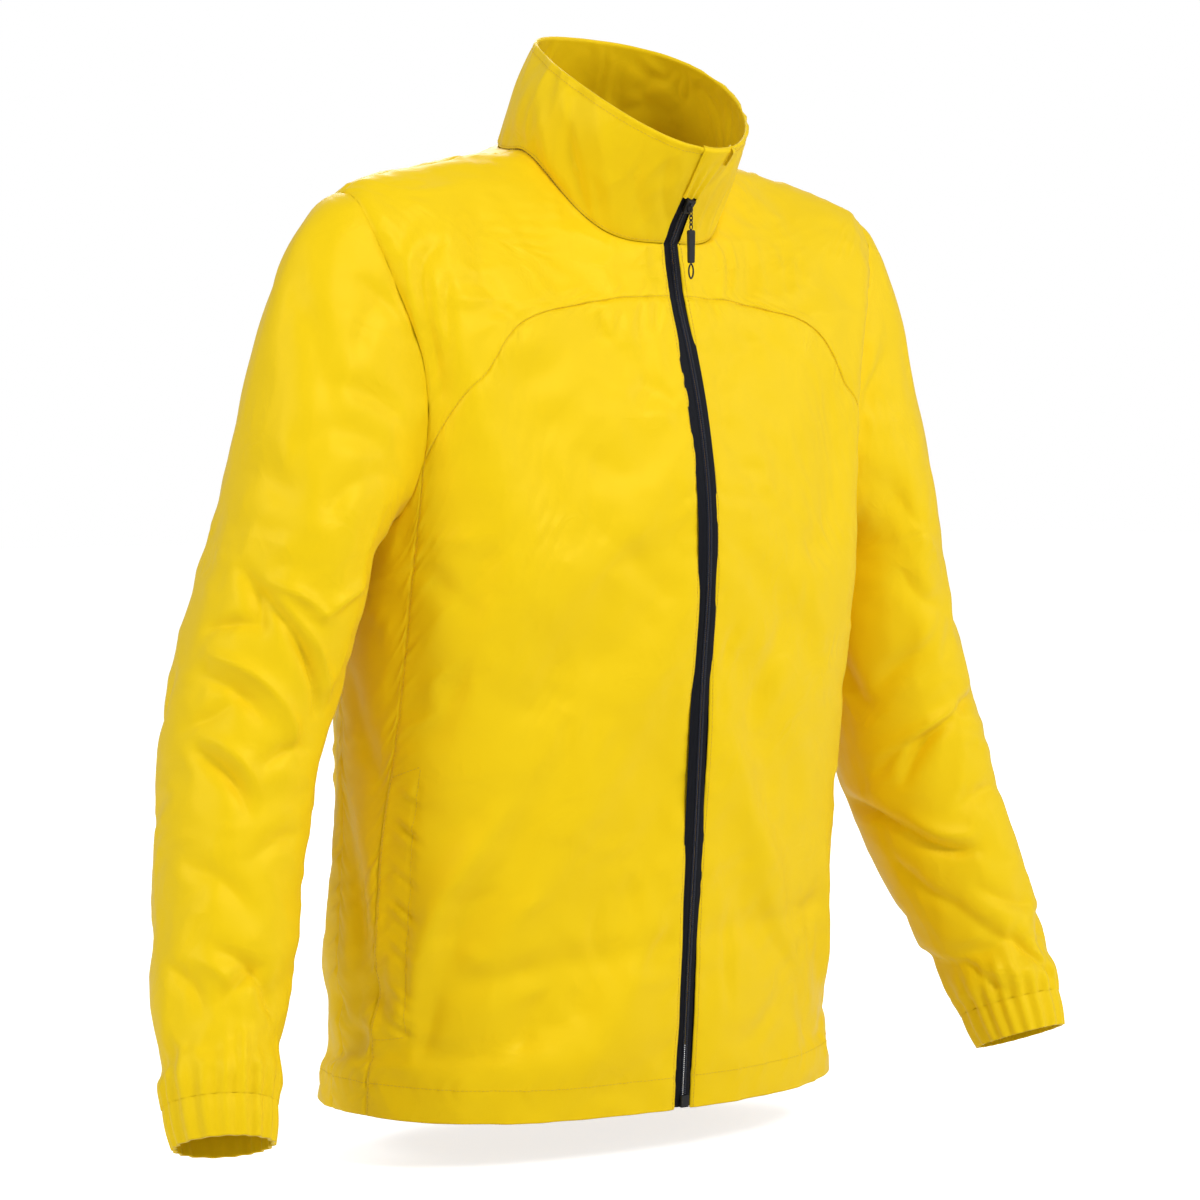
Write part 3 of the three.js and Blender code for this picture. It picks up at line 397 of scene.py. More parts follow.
def collar_point(phi, t):
    """The collar's smooth outer surface, from the neck seam at t = 0 to its top edge at t = 1."""
    phi, t = np.broadcast_arrays(np.asarray(phi, float), np.asarray(t, float))
    a = np.radians(phi)
    along = np.cos(a)
    reach = np.where(along >= 0, through(COLLAR_RINGS, "t", "front_y", t), through(COLLAR_RINGS, "t", "back_y", t))
    side_y = through(COLLAR_RINGS, "t", "side_y", t)
    edge = COLLAR_EDGE_MIDDLE - COLLAR_EDGE_LEAN * along + COLLAR_EDGE_BULGE * np.sin(a) ** 2
    seam = body_point(phi, BODY_TOP)[..., 2]
    x = through(COLLAR_RINGS, "t", "side_x", t) * np.sin(a)
    return np.stack([x, side_y + (reach - side_y) * np.abs(along), seam + (edge - seam) * t], -1)


def armhole_place(theta):
    """The armhole's (phi, v): theta is 0 at the shoulder, 90 at the front and 180 under the arm."""
    a = np.radians(theta)
    power = np.where(np.cos(a) > 0, ROUND_TOP, ROUND_BOTTOM)
    swing = np.sign(np.sin(a)) * np.abs(np.sin(a)) ** power
    reach = np.where(swing > 0, ARMHOLE_FRONT, ARMHOLE_BACK)
    return np.stack([90 - reach * swing, ARMHOLE_V + ARMHOLE_HALF * np.cos(a)], -1)


def arm_frame(arm, s):
    """An arm section's centre, and the directions along it, outward and forward."""
    def at(q):
        return np.stack([through(arm, "s", c, q) for c in "xyz"], -1)
    along = unit(at(s + 2) - at(s - 2))
    out = unit(np.array([1.0, 0, 0]) - along * along[..., :1])
    forward = unit(np.cross(along, out))
    forward = np.where(forward[..., 1:2] > 0, -forward, forward)
    return at(s), along, out, forward


def arm_point(arm, theta, s):
    """A sleeve's smooth outer surface below the armpit."""
    centre, _, out, forward = arm_frame(arm, s)
    a = np.radians(theta)
    across = (through(arm, "s", "outer", s) * np.cos(a))[..., None]
    ahead = (through(arm, "s", "front", s) * np.sin(a))[..., None]
    return centre + out * across + forward * ahead


def cap_point(arm, fullness, theta, t):
    """The sleeve cap: a smooth sweep from the armhole to the arm's first section."""
    place = armhole_place(theta)
    start = body_point(place[..., 0], place[..., 1])
    first = np.zeros_like(t)
    end = arm_point(arm, theta, first)
    span = np.linalg.norm(end - start, axis=-1)
    turn = np.abs((theta + 180) % 360 - 180)
    full = fullness + (1 - fullness) * turn / 180
    lead = span * full * through(CAP_LEAVING, "theta", "lead", turn)
    across = through(CAP_LEAVING, "theta", "across", turn) * lead
    down = -through(CAP_LEAVING, "theta", "down", turn) * lead
    leave = np.stack([across, np.zeros_like(across), down], -1)
    arrive = arm_frame(arm, first)[1] * (span * full)[..., None]
    t = t[..., None]
    return (start * (2 * t**3 - 3 * t**2 + 1) + leave * (t**3 - 2 * t**2 + t)
            + end * (3 * t**2 - 2 * t**3) + arrive * (t**3 - t**2))


def sleeve_point(side):
    """A sleeve's whole surface by (theta, s), where a negative s is on the cap."""
    arm = SLEEVES[side]

    def surface(theta, s):
        theta, s = np.broadcast_arrays(np.asarray(theta, float), np.asarray(s, float))
        cap = cap_point(arm, CAP_FULLNESS[side], theta, np.clip(1 + s / CAP_SPAN, 0, 1))
        return np.where((s < 0)[..., None], cap, arm_point(arm, theta, np.maximum(s, 0)))
    return surface


def outward(surface, u, v, du, dv, inside):
    """A surface's unit normal, pointing away from inside."""
    normal = unit(np.cross(surface(u + du, v) - surface(u - du, v), surface(u, v + dv) - surface(u, v - dv)))
    away = np.sum(normal * (surface(u, v) - inside), -1, keepdims=True)
    return np.where(away < 0, -normal, normal)


def body_normal(phi, v):
    """The body's outward normal."""
    v = np.clip(v, 1, BODY_TOP - 1)
    at = body_point(phi, v)
    inside = np.stack([np.zeros_like(v), through(BODY_RINGS, "v", "side_y", v), at[..., 2] - 60 * (v > ARMHOLE_V)], -1)
    return outward(body_point, phi, v, 0.5, 1, inside)


def collar_normal(phi, t):
    """The collar's outward normal."""
    t = np.clip(t, 0.02, 0.98)
    at = collar_point(phi, t)
    inside = np.stack([np.zeros_like(t), through(COLLAR_RINGS, "t", "side_y", t), at[..., 2]], -1)
    return outward(collar_point, phi, t, 0.5, 0.02, inside)


def sleeve_normal(side):
    """A sleeve's outward normal."""
    surface = sleeve_point(side)

    def normal(theta, s):
        theta, s = np.broadcast_arrays(np.asarray(theta, float), np.asarray(s, float))
        step = np.where(s < 0, 0.2, 2)
        held = np.clip(s, -CAP_SPAN + step, SLEEVE_END - step)
        centre = arm_frame(SLEEVES[side], np.maximum(held, 0))[0]
        return outward(surface, theta, held, 1, step, centre)
    return normal


# Folds

def fold_lines(rows, surface):
    """Each fold as a line of points on the surface."""
    names = FOLD_COLUMNS.split()
    t = np.linspace(0, 1, 9)
    lines = []
    for row in rows:
        fold = dict(zip(names, row))
        u = fold["u0"] + (fold["u1"] - fold["u0"]) * t
        v = fold["v0"] + (fold["v1"] - fold["v0"]) * t
        points = surface(u, v)
        chord = unit(points[-1] - points[0])
        side = unit(np.cross(chord, points[4] - points.mean(0) + np.array([0, -1.0, 0.01])))
        fold["points"] = points + side * (fold["bow"] * np.sin(np.pi * t))[:, None]
        lines.append(fold)
    return lines


def fold_depth(at, folds, strength=1.0):
    """How far the folds push each point in."""
    flat = at.reshape(-1, 3)
    depth = np.zeros(len(flat))
    for fold in folds:
        line, width = fold["points"], fold["width"]
        near = np.all((flat > line.min(0) - 3 * width) & (flat < line.max(0) + 3 * width), axis=1)
        if not near.any():
            continue
        p = flat[near]
        best = np.full(len(p), 1e9)
        along = np.zeros(len(p))
        for i in range(len(line) - 1):
            d = line[i + 1] - line[i]
            t = np.clip((p - line[i]) @ d / (d @ d), 0, 1)
            away = np.linalg.norm(p - line[i] - t[:, None] * d, axis=1)
            along = np.where(away < best, (i + t) / (len(line) - 1), along)
            best = np.minimum(away, best)
        x = best / width
        soft = (1 - 0.5 * x**2) * np.exp(-x**2)
        crisp = np.exp(-2.2 * (np.sqrt(x**2 + 0.01) - 0.1))
        profile = soft * (1 - fold["sharp"]) + crisp * fold["sharp"]
        depth[near] += fold["depth"] * profile * np.sin(np.pi * (0.12 + 0.76 * along))
    return strength * depth.reshape(at.shape[:-1])


def crumple(at, size, seed):
    """Uneven soft creases over the cloth, from -1 to 1."""
    shift = Vector((seed * 7.3, seed * 3.1, seed * 5.7))
    values = []
    for p in at.reshape(-1, 3) / size:
        q = Vector(p) + shift
        q += 0.9 * noise.noise_vector(q * 0.55)
        crease = 0.3 - abs(noise.noise(q * 1.3))
        values.append(noise.noise(q * 0.8) * 0.8 + 2.2 * crease)
    return np.array(values).reshape(at.shape[:-1])


# Grids of cloth

def between(bottom, top, left, right):
    """The places inside four seams that share their corners."""
    s = np.linspace(0, 1, len(bottom))[None, :, None]
    t = np.linspace(0, 1, len(left))[:, None, None]
    sides = (1 - t) * bottom[None] + t * top[None] + (1 - s) * left[:, None] + s * right[:, None]
    corners = ((1 - s) * (1 - t) * bottom[0] + s * (1 - t) * bottom[-1]
               + (1 - s) * t * top[0] + s * t * top[-1])
    grid = sides - corners
    grid[0], grid[-1] = bottom, top
    grid[:, 0], grid[:, -1] = left, right
    return grid


def pairs(u, v):
    """Places from two lists, or a list and a number."""
    return np.stack(np.broadcast_arrays(np.asarray(u, float), np.asarray(v, float)), -1)


def zip_edge(v):
    """Where the front's cloth meets the zip."""
    half = sizes().zip_width / MM / 2
    return np.degrees(np.arcsin(half / through(BODY_RINGS, "v", "side_x", v)))


def mirrored(seam):
    """The same seam on the wearer's right."""
    return np.stack([360 - seam[..., 0], seam[..., 1]], -1)


def evened_rows(places, start):
    """Rows that run more evenly up the middle of the back and follow the armholes only at its sides."""
    count, columns = places.shape[:2]
    first = places[start, 0, 1]
    even = first + (BODY_TOP - first) * (np.arange(count) - start)[:, None] / (count - 1 - start)
    at_side = np.maximum(ROWS_FOLLOW_SIDES, np.abs(np.linspace(-1, 1, columns)) ** 3)[None]
    v = even + (places[..., 1] - even) * at_side
    return np.stack([places[..., 0], np.where(np.arange(count)[:, None] <= start, places[..., 1], v)], -1)


def chain(*seams):
    """Seams joined end to end."""
    return np.concatenate([seams[0]] + [seam[1:] for seam in seams[1:]])


def seam_lines():
    """Every seam of the body on the wearer's left."""
    rows = np.concatenate([np.linspace(0, HEM_FOLD, HEM_ROWS + 1), np.linspace(HEM_FOLD, SIDE_CORNER_V, SEAM_ROWS)[1:]])
    yoke_start = zip_edge(YOKE_AT_ZIP)
    yoke_phi = np.linspace(yoke_start, SIDE_CORNER_PHI, FRONT_COLUMNS)
    arm_yoke = armhole_place(np.linspace(SIDE_CORNER, 0, ARMHOLE_STEPS["yoke"]))
    arm_side = armhole_place(np.linspace(SIDE_CORNER, 360 - SIDE_CORNER, ARMHOLE_STEPS["side"]))
    arm_back = armhole_place(np.linspace(360 - SIDE_CORNER, 360, ARMHOLE_STEPS["back"]))
    shoulder = pairs(SHOULDER_SEAM, np.linspace(ARMHOLE_V + ARMHOLE_HALF, BODY_TOP, SHOULDER_STEPS))
    front_side = pairs(through(FRONT_SEAM, "v", "phi", rows), rows)
    back_side = pairs(through(BACK_SEAM, "v", "phi", rows), rows)
    yoke = pairs(yoke_phi, through(YOKE_SEAM, "phi", "v", yoke_phi))
    front_side[-1] = yoke[-1] = arm_yoke[0]
    back_side[-1] = arm_back[0]
    shoulder[0] = arm_yoke[-1]
    zip_rows = np.where(rows <= HEM_FOLD, rows, HEM_FOLD + (rows - HEM_FOLD) * (YOKE_AT_ZIP - HEM_FOLD)
                        / (SIDE_CORNER_V - HEM_FOLD))
    return {
        "front_side": front_side,
        "back_side": back_side,
        "zip": pairs(zip_edge(zip_rows), zip_rows),
        "yoke": yoke,
        "yoke_outer": chain(arm_yoke, shoulder),
        "arm_side": arm_side,
        "arm_back": arm_back,
        "shoulder": shoulder,
    }


def body_places():
    """The places of every body panel."""
    seams = seam_lines()
    hem = {
        "front": pairs(np.linspace(zip_edge(0), seams["front_side"][0, 0], FRONT_COLUMNS), 0),
        "side": pairs(np.linspace(seams["front_side"][0, 0], seams["back_side"][0, 0], ARMHOLE_STEPS["side"]), 0),
        "back": pairs(np.linspace(seams["back_side"][0, 0], 360 - seams["back_side"][0, 0], BACK_COLUMNS), 0),
    }
    outer = seams["yoke_outer"]
    yoke_zip = np.linspace(YOKE_AT_ZIP, BODY_TOP, len(outer))
    neck_front = pairs(np.linspace(zip_edge(BODY_TOP), SHOULDER_SEAM, FRONT_COLUMNS), BODY_TOP)
    back_edge = chain(seams["back_side"], seams["arm_back"], seams["shoulder"])
    neck_back = pairs(np.linspace(SHOULDER_SEAM, 360 - SHOULDER_SEAM, BACK_COLUMNS), BODY_TOP)
    left = {
        "front": between(hem["front"], seams["yoke"], seams["zip"], seams["front_side"]),
        "front_yoke": between(seams["yoke"], neck_front, pairs(zip_edge(yoke_zip), yoke_zip), outer),
        "side_panel": between(hem["side"], seams["arm_side"], seams["front_side"], seams["back_side"]),
    }
    back = between(hem["back"], neck_back, back_edge, mirrored(back_edge))
    places = {"back": evened_rows(back, HEM_ROWS)}
    for name, grid in left.items():
        places[f"{name}_left"] = grid
        places[f"{name}_right"] = mirrored(grid)
    return places


def sleeve_places():
    """Places by (theta, s), with the armhole's own points in the first row."""
    turns = [
        np.linspace(0, SIDE_CORNER, ARMHOLE_STEPS["yoke"]),
        np.linspace(SIDE_CORNER, 360 - SIDE_CORNER, ARMHOLE_STEPS["side"])[1:],
        np.linspace(360 - SIDE_CORNER, 360, ARMHOLE_STEPS["back"])[1:-1],
    ]
    theta = np.concatenate(turns)
    s = np.concatenate([np.linspace(-CAP_SPAN, 0, CAP_ROWS), np.linspace(0, SLEEVE_END, SLEEVE_ROWS)[1:]])
    return pairs(theta[None, :], s[:, None])


def finer_steps(count, wrapped=False):
    """Where a finer grid's lines lie, in cells of the coarse one, closer together beside a seam."""
    inner = [i + k / FINER for i in range(count) for k in range(FINER)]
    if wrapped:
        return np.array(inner)
    near = [f for f in SEAM_LINES]
    first = near + [k for k in inner if k > near[-1] + 0.1]
    ends = [count - f for f in near]
    return np.array(sorted([k for k in first if k < count - near[-1] - 0.1] + ends))


def resample(grid, at, wrapped=False):
    """A smooth curve through a grid's rows, read at fractions of a row."""
    n = len(grid)
    if wrapped:
        padded = np.concatenate([grid[-1:], grid, grid[:2]])
    else:
        padded = np.concatenate([2 * grid[:1] - grid[1:2], grid, 2 * grid[-1:] - grid[-2:-1]])
    i = np.clip(np.floor(at).astype(int), 0, n - 1 if wrapped else n - 2)
    t = (at - i).reshape((-1,) + (1,) * (grid.ndim - 1))
    a, b, c, d = (padded[i + k] for k in range(4))
    return 0.5 * (2 * b + (c - a) * t + (2 * a - 5 * b + 4 * c - d) * t**2 + (3 * b - 3 * c + d - a) * t**3)


def finer(grid, wrapped=False):
    """The grid with more rows and columns."""
    rows = resample(grid, finer_steps(len(grid) - 1))
    columns = np.swapaxes(rows, 0, 1)
    steps = finer_steps(columns.shape[0] if wrapped else columns.shape[0] - 1, wrapped)
    return np.swapaxes(resample(columns, steps, wrapped), 0, 1)


def grid_normals(points, wrapped, toward):
    """A grid's normals, on the side that toward points to."""
    if wrapped:
        across = np.roll(points, -1, 1) - np.roll(points, 1, 1)
    else:
        across = np.gradient(points, axis=1)
    normal = unit(np.cross(across, np.gradient(points, axis=0)))
    return np.where(np.sum(normal * toward, -1, keepdims=True) < 0, -normal, normal)


def run_along(points, axis):
    """Distance along a grid's lines from their start."""
    step = np.linalg.norm(np.diff(points, axis=axis), axis=-1)
    start = np.zeros_like(np.take(step, [0], axis))
    return np.concatenate([start, np.cumsum(step, axis)], axis)


def from_edge(points, edge):
    """(distance from a grid's edge, distance along that edge) at each point."""
    axis = 1 if edge in ("left", "right") else 0
    away = run_along(points, axis)
    if edge in ("right", "top"):
        away = np.take(away, [-1], axis) - away
    line = np.take(points, [-1 if edge in ("right", "top") else 0], axis)
    run = run_along(line, 1 - axis)
    return away, np.broadcast_to(run, away.shape)


def ripple(run, wavelength, seed):
    """An uneven wave along a seam."""
    k = 2 * math.pi / wavelength
    wave = np.sin(k * run + seed) + 0.8 * np.sin(0.63 * k * run + 2.3 * seed) + 0.5 * np.sin(1.57 * k * run + 4.1 * seed)
    strength = 0.55 + 0.45 * np.sin(0.13 * k * run + 1.7 * seed) * np.sin(0.29 * k * run + 3.3 * seed)
    return wave * strength / 2


def puckered(points, normals, puckers):
    """Lifts the cloth in short creases that start at a seam and fade away from it.
    Each pucker is (edge, line, height, wavelength, reach, slant, seed), and line is its distance from the edge."""
    lift = np.zeros(points.shape[:-1])
    for edge, line, height, wavelength, reach, slant, seed in puckers:
        away, run = from_edge(points, edge)
        gap = np.abs(away - line)
        sewn = smoothstep(gap, 0, 3) if line == 0 else 1
        lift += sewn * height * ripple(run + slant * gap, wavelength, seed) * np.exp(-(gap / reach) ** 1.3)
    return points + normals * lift[..., None]


def sunk_edges(points, normals, edges, depth):
    """Sinks the cloth where it is sewn to its neighbour."""
    drop = np.zeros(points.shape[:-1])
    for edge in edges:
        away, _ = from_edge(points, edge)
        drop = np.maximum(drop, depth * np.exp(-(away / 1.5) ** 2))
    return points - normals * drop[..., None]


def turned_under(points, normals, edge, width, depth):
    """The cloth with a strip along an edge folded under it."""
    if edge in ("left", "right"):
        turned = turned_under(np.swapaxes(points, 0, 1), np.swapaxes(normals, 0, 1),
                              "bottom" if edge == "left" else "top", width, depth)
        return tuple(np.swapaxes(x, 0, 1) for x in turned)
    if edge == "top":
        turned = turned_under(points[::-1], normals[::-1], "bottom", width, depth)
        return tuple(x[::-1] for x in turned)
    away = run_along(points, 0).mean(1)
    count = int(np.searchsorted(away, width)) + 1
    under = points[:count] - normals[:count] * depth
    bend = points[:1] - normals[:1] * depth / 2 - unit(points[1:2] - points[:1]) * depth / 2
    return (np.concatenate([under[::-1], bend, points]),
            np.concatenate([-normals[:count][::-1], unit(points[:1] - points[1:2]), normals]))


# The jacket's grids, made once and used by every operator
cloth = {}


def make_cloth():
    """The grid of every panel and sleeve: settled as one sewn shell, then folded."""
    if cloth:
        return
    body_lines = fold_lines(BODY_FOLDS, body_point)
    for name, places in body_places().items():
        u, v = places[..., 0], places[..., 1]
        cloth[name] = {"places": places, "points": body_point(u, v), "normals": body_normal(u, v),
                       "hold": body_hold(name, places), "surface": body_point, "folds": body_lines,
                       "fade": body_fade, "wrapped": False, "flip": 1}
    for side in ("right", "left"):
        places = sleeve_places()
        surface = sleeve_point(side)
        u, v = places[..., 0], places[..., 1]
        normal = sleeve_normal(side)(u, v)
        rim = armhole_place(u[0])
        normal[0] = body_normal(rim[:, 0], rim[:, 1])
        flip = -1 if side == "right" else 1
        mirror = np.array([flip, 1, 1])
        cloth[f"sleeve_{side}"] = {"places": places, "points": surface(u, v) * mirror, "normals": normal * mirror,
                                   "hold": sleeve_hold(places), "surface": surface, "fade": sleeve_fade,
                                   "folds": fold_lines(SLEEVE_FOLDS[side], surface), "wrapped": True, "flip": flip}
    for piece in cloth.values():
        rough = CRUMPLE_HEIGHT * crumple(piece["points"], CRUMPLE_SIZE, 4) * (piece["hold"] < 1)
        piece["points"] = piece["points"] + piece["normals"] * rough[..., None]
    settle()
    for piece in cloth.values():
        fold(piece)


def fold(piece):
    """Makes a piece's grid finer and lays its folds in it."""
    wrapped = piece["wrapped"]
    points = finer(piece["points"], wrapped)
    normals = unit(finer(piece["normals"], wrapped))
    places = piece["places"]
    if wrapped:
        turns = np.concatenate([places, places[:, :1] + (360, 0)], 1)
        rows = resample(turns, finer_steps(len(turns) - 1))
        steps = finer_steps(places.shape[1], True)
        places = np.swapaxes(resample(np.swapaxes(rows, 0, 1), steps), 0, 1)
    else:
        places = finer(places)
    base = piece["surface"](places[..., 0], places[..., 1])
    strength = SLEEVE_FOLD_STRENGTH if wrapped else BODY_FOLD_STRENGTH
    depth = fold_depth(base, piece["folds"], strength) * piece["fade"](places, base)
    piece["places"] = places
    piece["points"] = points - normals * depth[..., None]
    piece["normals"] = normals


def body_fade(places, base):
    """Where the body's folds fade out: beside the armholes, the neck and the zip."""
    rim = armhole_place(np.linspace(0, 360, 90))
    rim = body_point(rim[:, 0], rim[:, 1])
    away = np.full(places.shape[:2], 1e9)
    side = base * np.where(base[..., :1] < 0, -1, 1)
    for p in rim:
        away = np.minimum(away, np.sum((side - p) ** 2, -1))
    from_zip = np.minimum(places[..., 0], 360 - places[..., 0])
    return (smoothstep(np.sqrt(away), 0, 14) * smoothstep(BODY_TOP - places[..., 1], 0, 14)
            * smoothstep(from_zip, 1.5, 7))


def sleeve_fade(places, base):
    """Where a sleeve's folds fade out: beside the armhole and the armpit's join."""
    s = places[..., 1]
    return smoothstep(s, 0, 12) + smoothstep(-s, 0, 0.8) * smoothstep(s, -CAP_SPAN, -CAP_SPAN + 1)


def grid_faces(rows, columns, wrapped):
    """A grid's faces, each four point numbers."""
    index = np.arange(rows * columns).reshape(rows, columns)
    right = np.roll(index, -1, 1) if wrapped else index[:, 1:]
    left = index if wrapped else index[:, :-1]
    return np.stack([left[:-1], right[:-1], right[1:], left[1:]], -1).reshape(-1, 4)


def settle():
    """Lets the sewn shell settle as thin cloth that is cut a little larger than the form it hangs on."""
    grids = list(cloth.values())
    points = np.concatenate([piece["points"].reshape(-1, 3) for piece in grids])
    hold = np.concatenate([piece["hold"].ravel() for piece in grids])
    _, first, merged = np.unique(np.round(points, 1), axis=0, return_index=True, return_inverse=True)
    merged = merged.ravel()
    strongest = np.zeros(len(first))
    np.maximum.at(strongest, merged, hold)
    faces, start = [], 0
    for piece in grids:
        rows, columns = piece["points"].shape[:2]
        faces.append(merged[start + grid_faces(rows, columns, piece["wrapped"])])
        start += rows * columns
    faces = np.concatenate(faces)
    whole = [len(set(face)) == 4 for face in faces.tolist()]
    shell = mesh_object("settling_shell", points[first], faces[whole])
    settled = simulate(shell, strongest)
    moved = evened(settled - points[first], faces[whole])
    far = np.linalg.norm(moved, axis=1, keepdims=True)
    moved *= np.minimum(1, MOST_SETTLING / np.maximum(far, 1e-6))
    start = 0
    for piece in grids:
        count = piece["points"].shape[0] * piece["points"].shape[1]
        step = moved[merged[start:start + count]]
        piece["points"] = piece["points"] + step.reshape(piece["points"].shape)
        start += count


def evened(moved, faces):
    """The movement of each point, averaged with its neighbours', so that only broad waves are left."""
    edges = np.concatenate([faces[:, [0, 1]], faces[:, [1, 2]], faces[:, [2, 3]], faces[:, [3, 0]]])
    one, other = np.concatenate([edges, edges[:, ::-1]]).T
    count = np.bincount(one, minlength=len(moved))[:, None]
    for _ in range(SMOOTHING_ROUNDS):
        total = np.stack([np.bincount(one, moved[other, k], len(moved)) for k in range(3)], -1)
        moved = 0.5 * moved + 0.5 * total / np.maximum(count, 1)
    return moved


def simulate(shell, hold):
    """Runs the cloth simulation on the sewn shell and returns its points in millimetres."""
    group = shell.vertex_groups.new(name="hold")
    for strength in np.unique(hold):
        group.add(np.flatnonzero(hold == strength).tolist(), float(strength), "REPLACE")
    modifier = shell.modifiers.new("cloth", "CLOTH")
    setting = modifier.settings
    setting.quality = 5
    setting.mass = 0.12
    setting.tension_stiffness = 12
    setting.compression_stiffness = 12
    setting.shear_stiffness = 4
    setting.bending_stiffness = 0.5
    setting.air_damping = 2
    setting.vertex_group_mass = "hold"
    setting.pin_stiffness = 1
    setting.shrink_min = -CLOTH_EASE
    setting.effector_weights.gravity = 0.25
    scene = bpy.context.scene
    modifier.point_cache.frame_start = 1
    modifier.point_cache.frame_end = SETTLING_STEPS
    for step in range(1, SETTLING_STEPS + 1):
        scene.frame_set(step)
    made = shell.evaluated_get(bpy.context.evaluated_depsgraph_get()).data
    co = np.empty(len(made.vertices) * 3)
    made.vertices.foreach_get("co", co)
    bpy.data.objects.remove(shell)
    scene.frame_set(1)
    return co.reshape(-1, 3) / MM


def body_hold(name, places):
    """How firmly each place of a panel is held: the zip and neck fully, and the shoulders more than the rest."""
    hold = 0.05 + 0.35 * smoothstep(places[..., 1], 540, 620)
    hold[:, [0, -1]] = np.maximum(hold[:, [0, -1]], 0.2)
    hold[-1] = np.maximum(hold[-1], 0.2)
    if "yoke" not in name:
        hold[:3] = 0.6
    if name.startswith("front"):
        hold[:, 0] = 1
    if name == "back" or "yoke" in name:
        hold[-1] = 1
    return np.round(hold, 2)


def sleeve_hold(places):
    """How firmly each place of a sleeve is held: fully at the cuff."""
    hold = np.full(places.shape[:2], 0.05)
    hold[1:CAP_ROWS] = 0.25
    hold[0] = 0.5
    hold[-2:] = 1
    hold[-4:-2] = 0.3
    return hold


def grid_mesh(name, points, outward_normals, wrapped=False):
    """A mesh object from a grid of points in millimetres, facing as its normals do."""
    faces = grid_faces(*points.shape[:2], wrapped)
    flat = points.reshape(-1, 3)
    a, b, c = flat[faces[:, 0]], flat[faces[:, 1]], flat[faces[:, 3]]
    facing = np.sum(np.cross(b - a, c - a) * outward_normals.reshape(-1, 3)[faces[:, 0]], 1).sum()
    if facing < 0:
        faces = faces[:, ::-1]
    return mesh_object(name, flat, faces)


def mesh_object(name, points, faces):
    """A smooth-shaded mesh object from points in millimetres."""
    mesh = bpy.data.meshes.new(name)
    mesh.from_pydata((np.asarray(points) * MM).tolist(), [], np.asarray(faces).tolist())
    mesh.polygons.foreach_set("use_smooth", np.ones(len(mesh.polygons), bool))
    mesh.update()
    obj = bpy.data.objects.new(name, mesh)
    bpy.context.scene.collection.objects.link(obj)
    return obj


def cut_map(obj, points, wrapped=False):
    """A UV map in metres along the cloth's two grains."""
    across = run_along(points, 1)
    across = (across - across.mean(1, keepdims=True)) * MM
    up = run_along(points, 0).mean(1, keepdims=True) * MM + np.zeros_like(across)
    flat = np.stack([across, up], -1).reshape(-1, 2)
    layer = obj.data.uv_layers.new(name="cut")
    loops = np.empty(len(obj.data.loops), int)
    obj.data.loops.foreach_get("vertex_index", loops)
    layer.data.foreach_set("uv", flat[loops].ravel())


def finish_piece(obj, body, material, replaced=()):
    """Dresses a piece and has it ride on its body."""
    obj.data.materials.append(material)
    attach(obj, body)
    if replaced:
        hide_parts(*replaced)
    return obj


def join(objects, name):
    """Several objects as one."""
    with bpy.context.temp_override(active_object=objects[0], selected_editable_objects=objects):
        bpy.ops.object.join()
    objects[0].name = name
    return objects[0]


def stamped(shape, origins, axes):
    """One mesh's points and faces from a small shape, copied to each origin along its three axes."""
    points, faces = shape
    placed = origins[:, None] + np.einsum("pk,nkj->npj", points, axes)
    shift = np.arange(len(origins))[:, None, None] * len(points)
    return placed.reshape(-1, 3), (faces[None] + shift).reshape(-1, 4)


def rod(length, width, height, sides=6):
    """A small rod along x with rounded ends."""
    at = np.array([-0.5, -0.44, -0.25, 0.25, 0.44, 0.5]) * length
    size = np.array([0.1, 0.7, 1, 1, 0.7, 0.1]) / 2
    a = np.arange(sides) * 2 * math.pi / sides
    points = np.stack([
        np.broadcast_to(at[:, None], (len(at), sides)), size[:, None] * width * np.cos(a),
        size[:, None] * height * np.sin(a)], -1)
    return points.reshape(-1, 3), grid_faces(len(at), sides, True)


def ring(line, wire, sides=8):
    """A closed wire along a line of points that starts and ends beside the same place."""
    along = unit(np.roll(line, -1, 0) - np.roll(line, 1, 0))
    side = unit(np.cross(along, np.cross(line[0] - line.mean(0), along[0])))
    third = np.cross(along, side)
    a = np.arange(sides) * 2 * math.pi / sides
    tube = line[:, None] + wire * (side[:, None] * np.cos(a)[:, None] + third[:, None] * np.sin(a)[:, None])
    tube = np.concatenate([tube, tube[:1]])
    return tube.reshape(-1, 3), grid_faces(len(tube), sides, True)


def line_on(piece, edge, distance):
    """The points and normals of the line on a grid at a distance from one of its edges."""
    points, normals = piece["points"], piece["normals"]
    if piece["wrapped"]:
        points = np.concatenate([points, points[:, :1]], 1)
        normals = np.concatenate([normals, normals[:, :1]], 1)
    if edge in ("top", "bottom"):
        points, normals = np.swapaxes(points, 0, 1), np.swapaxes(normals, 0, 1)
    if edge in ("top", "right"):
        points, normals = points[:, ::-1], normals[:, ::-1]
    away = run_along(points, 1)
    both = np.concatenate([points, normals], -1)
    line = np.array([[np.interp(distance, away[i], both[i, :, k]) for k in range(6)] for i in range(len(both))])
    return line[:, :3], unit(line[:, 3:])


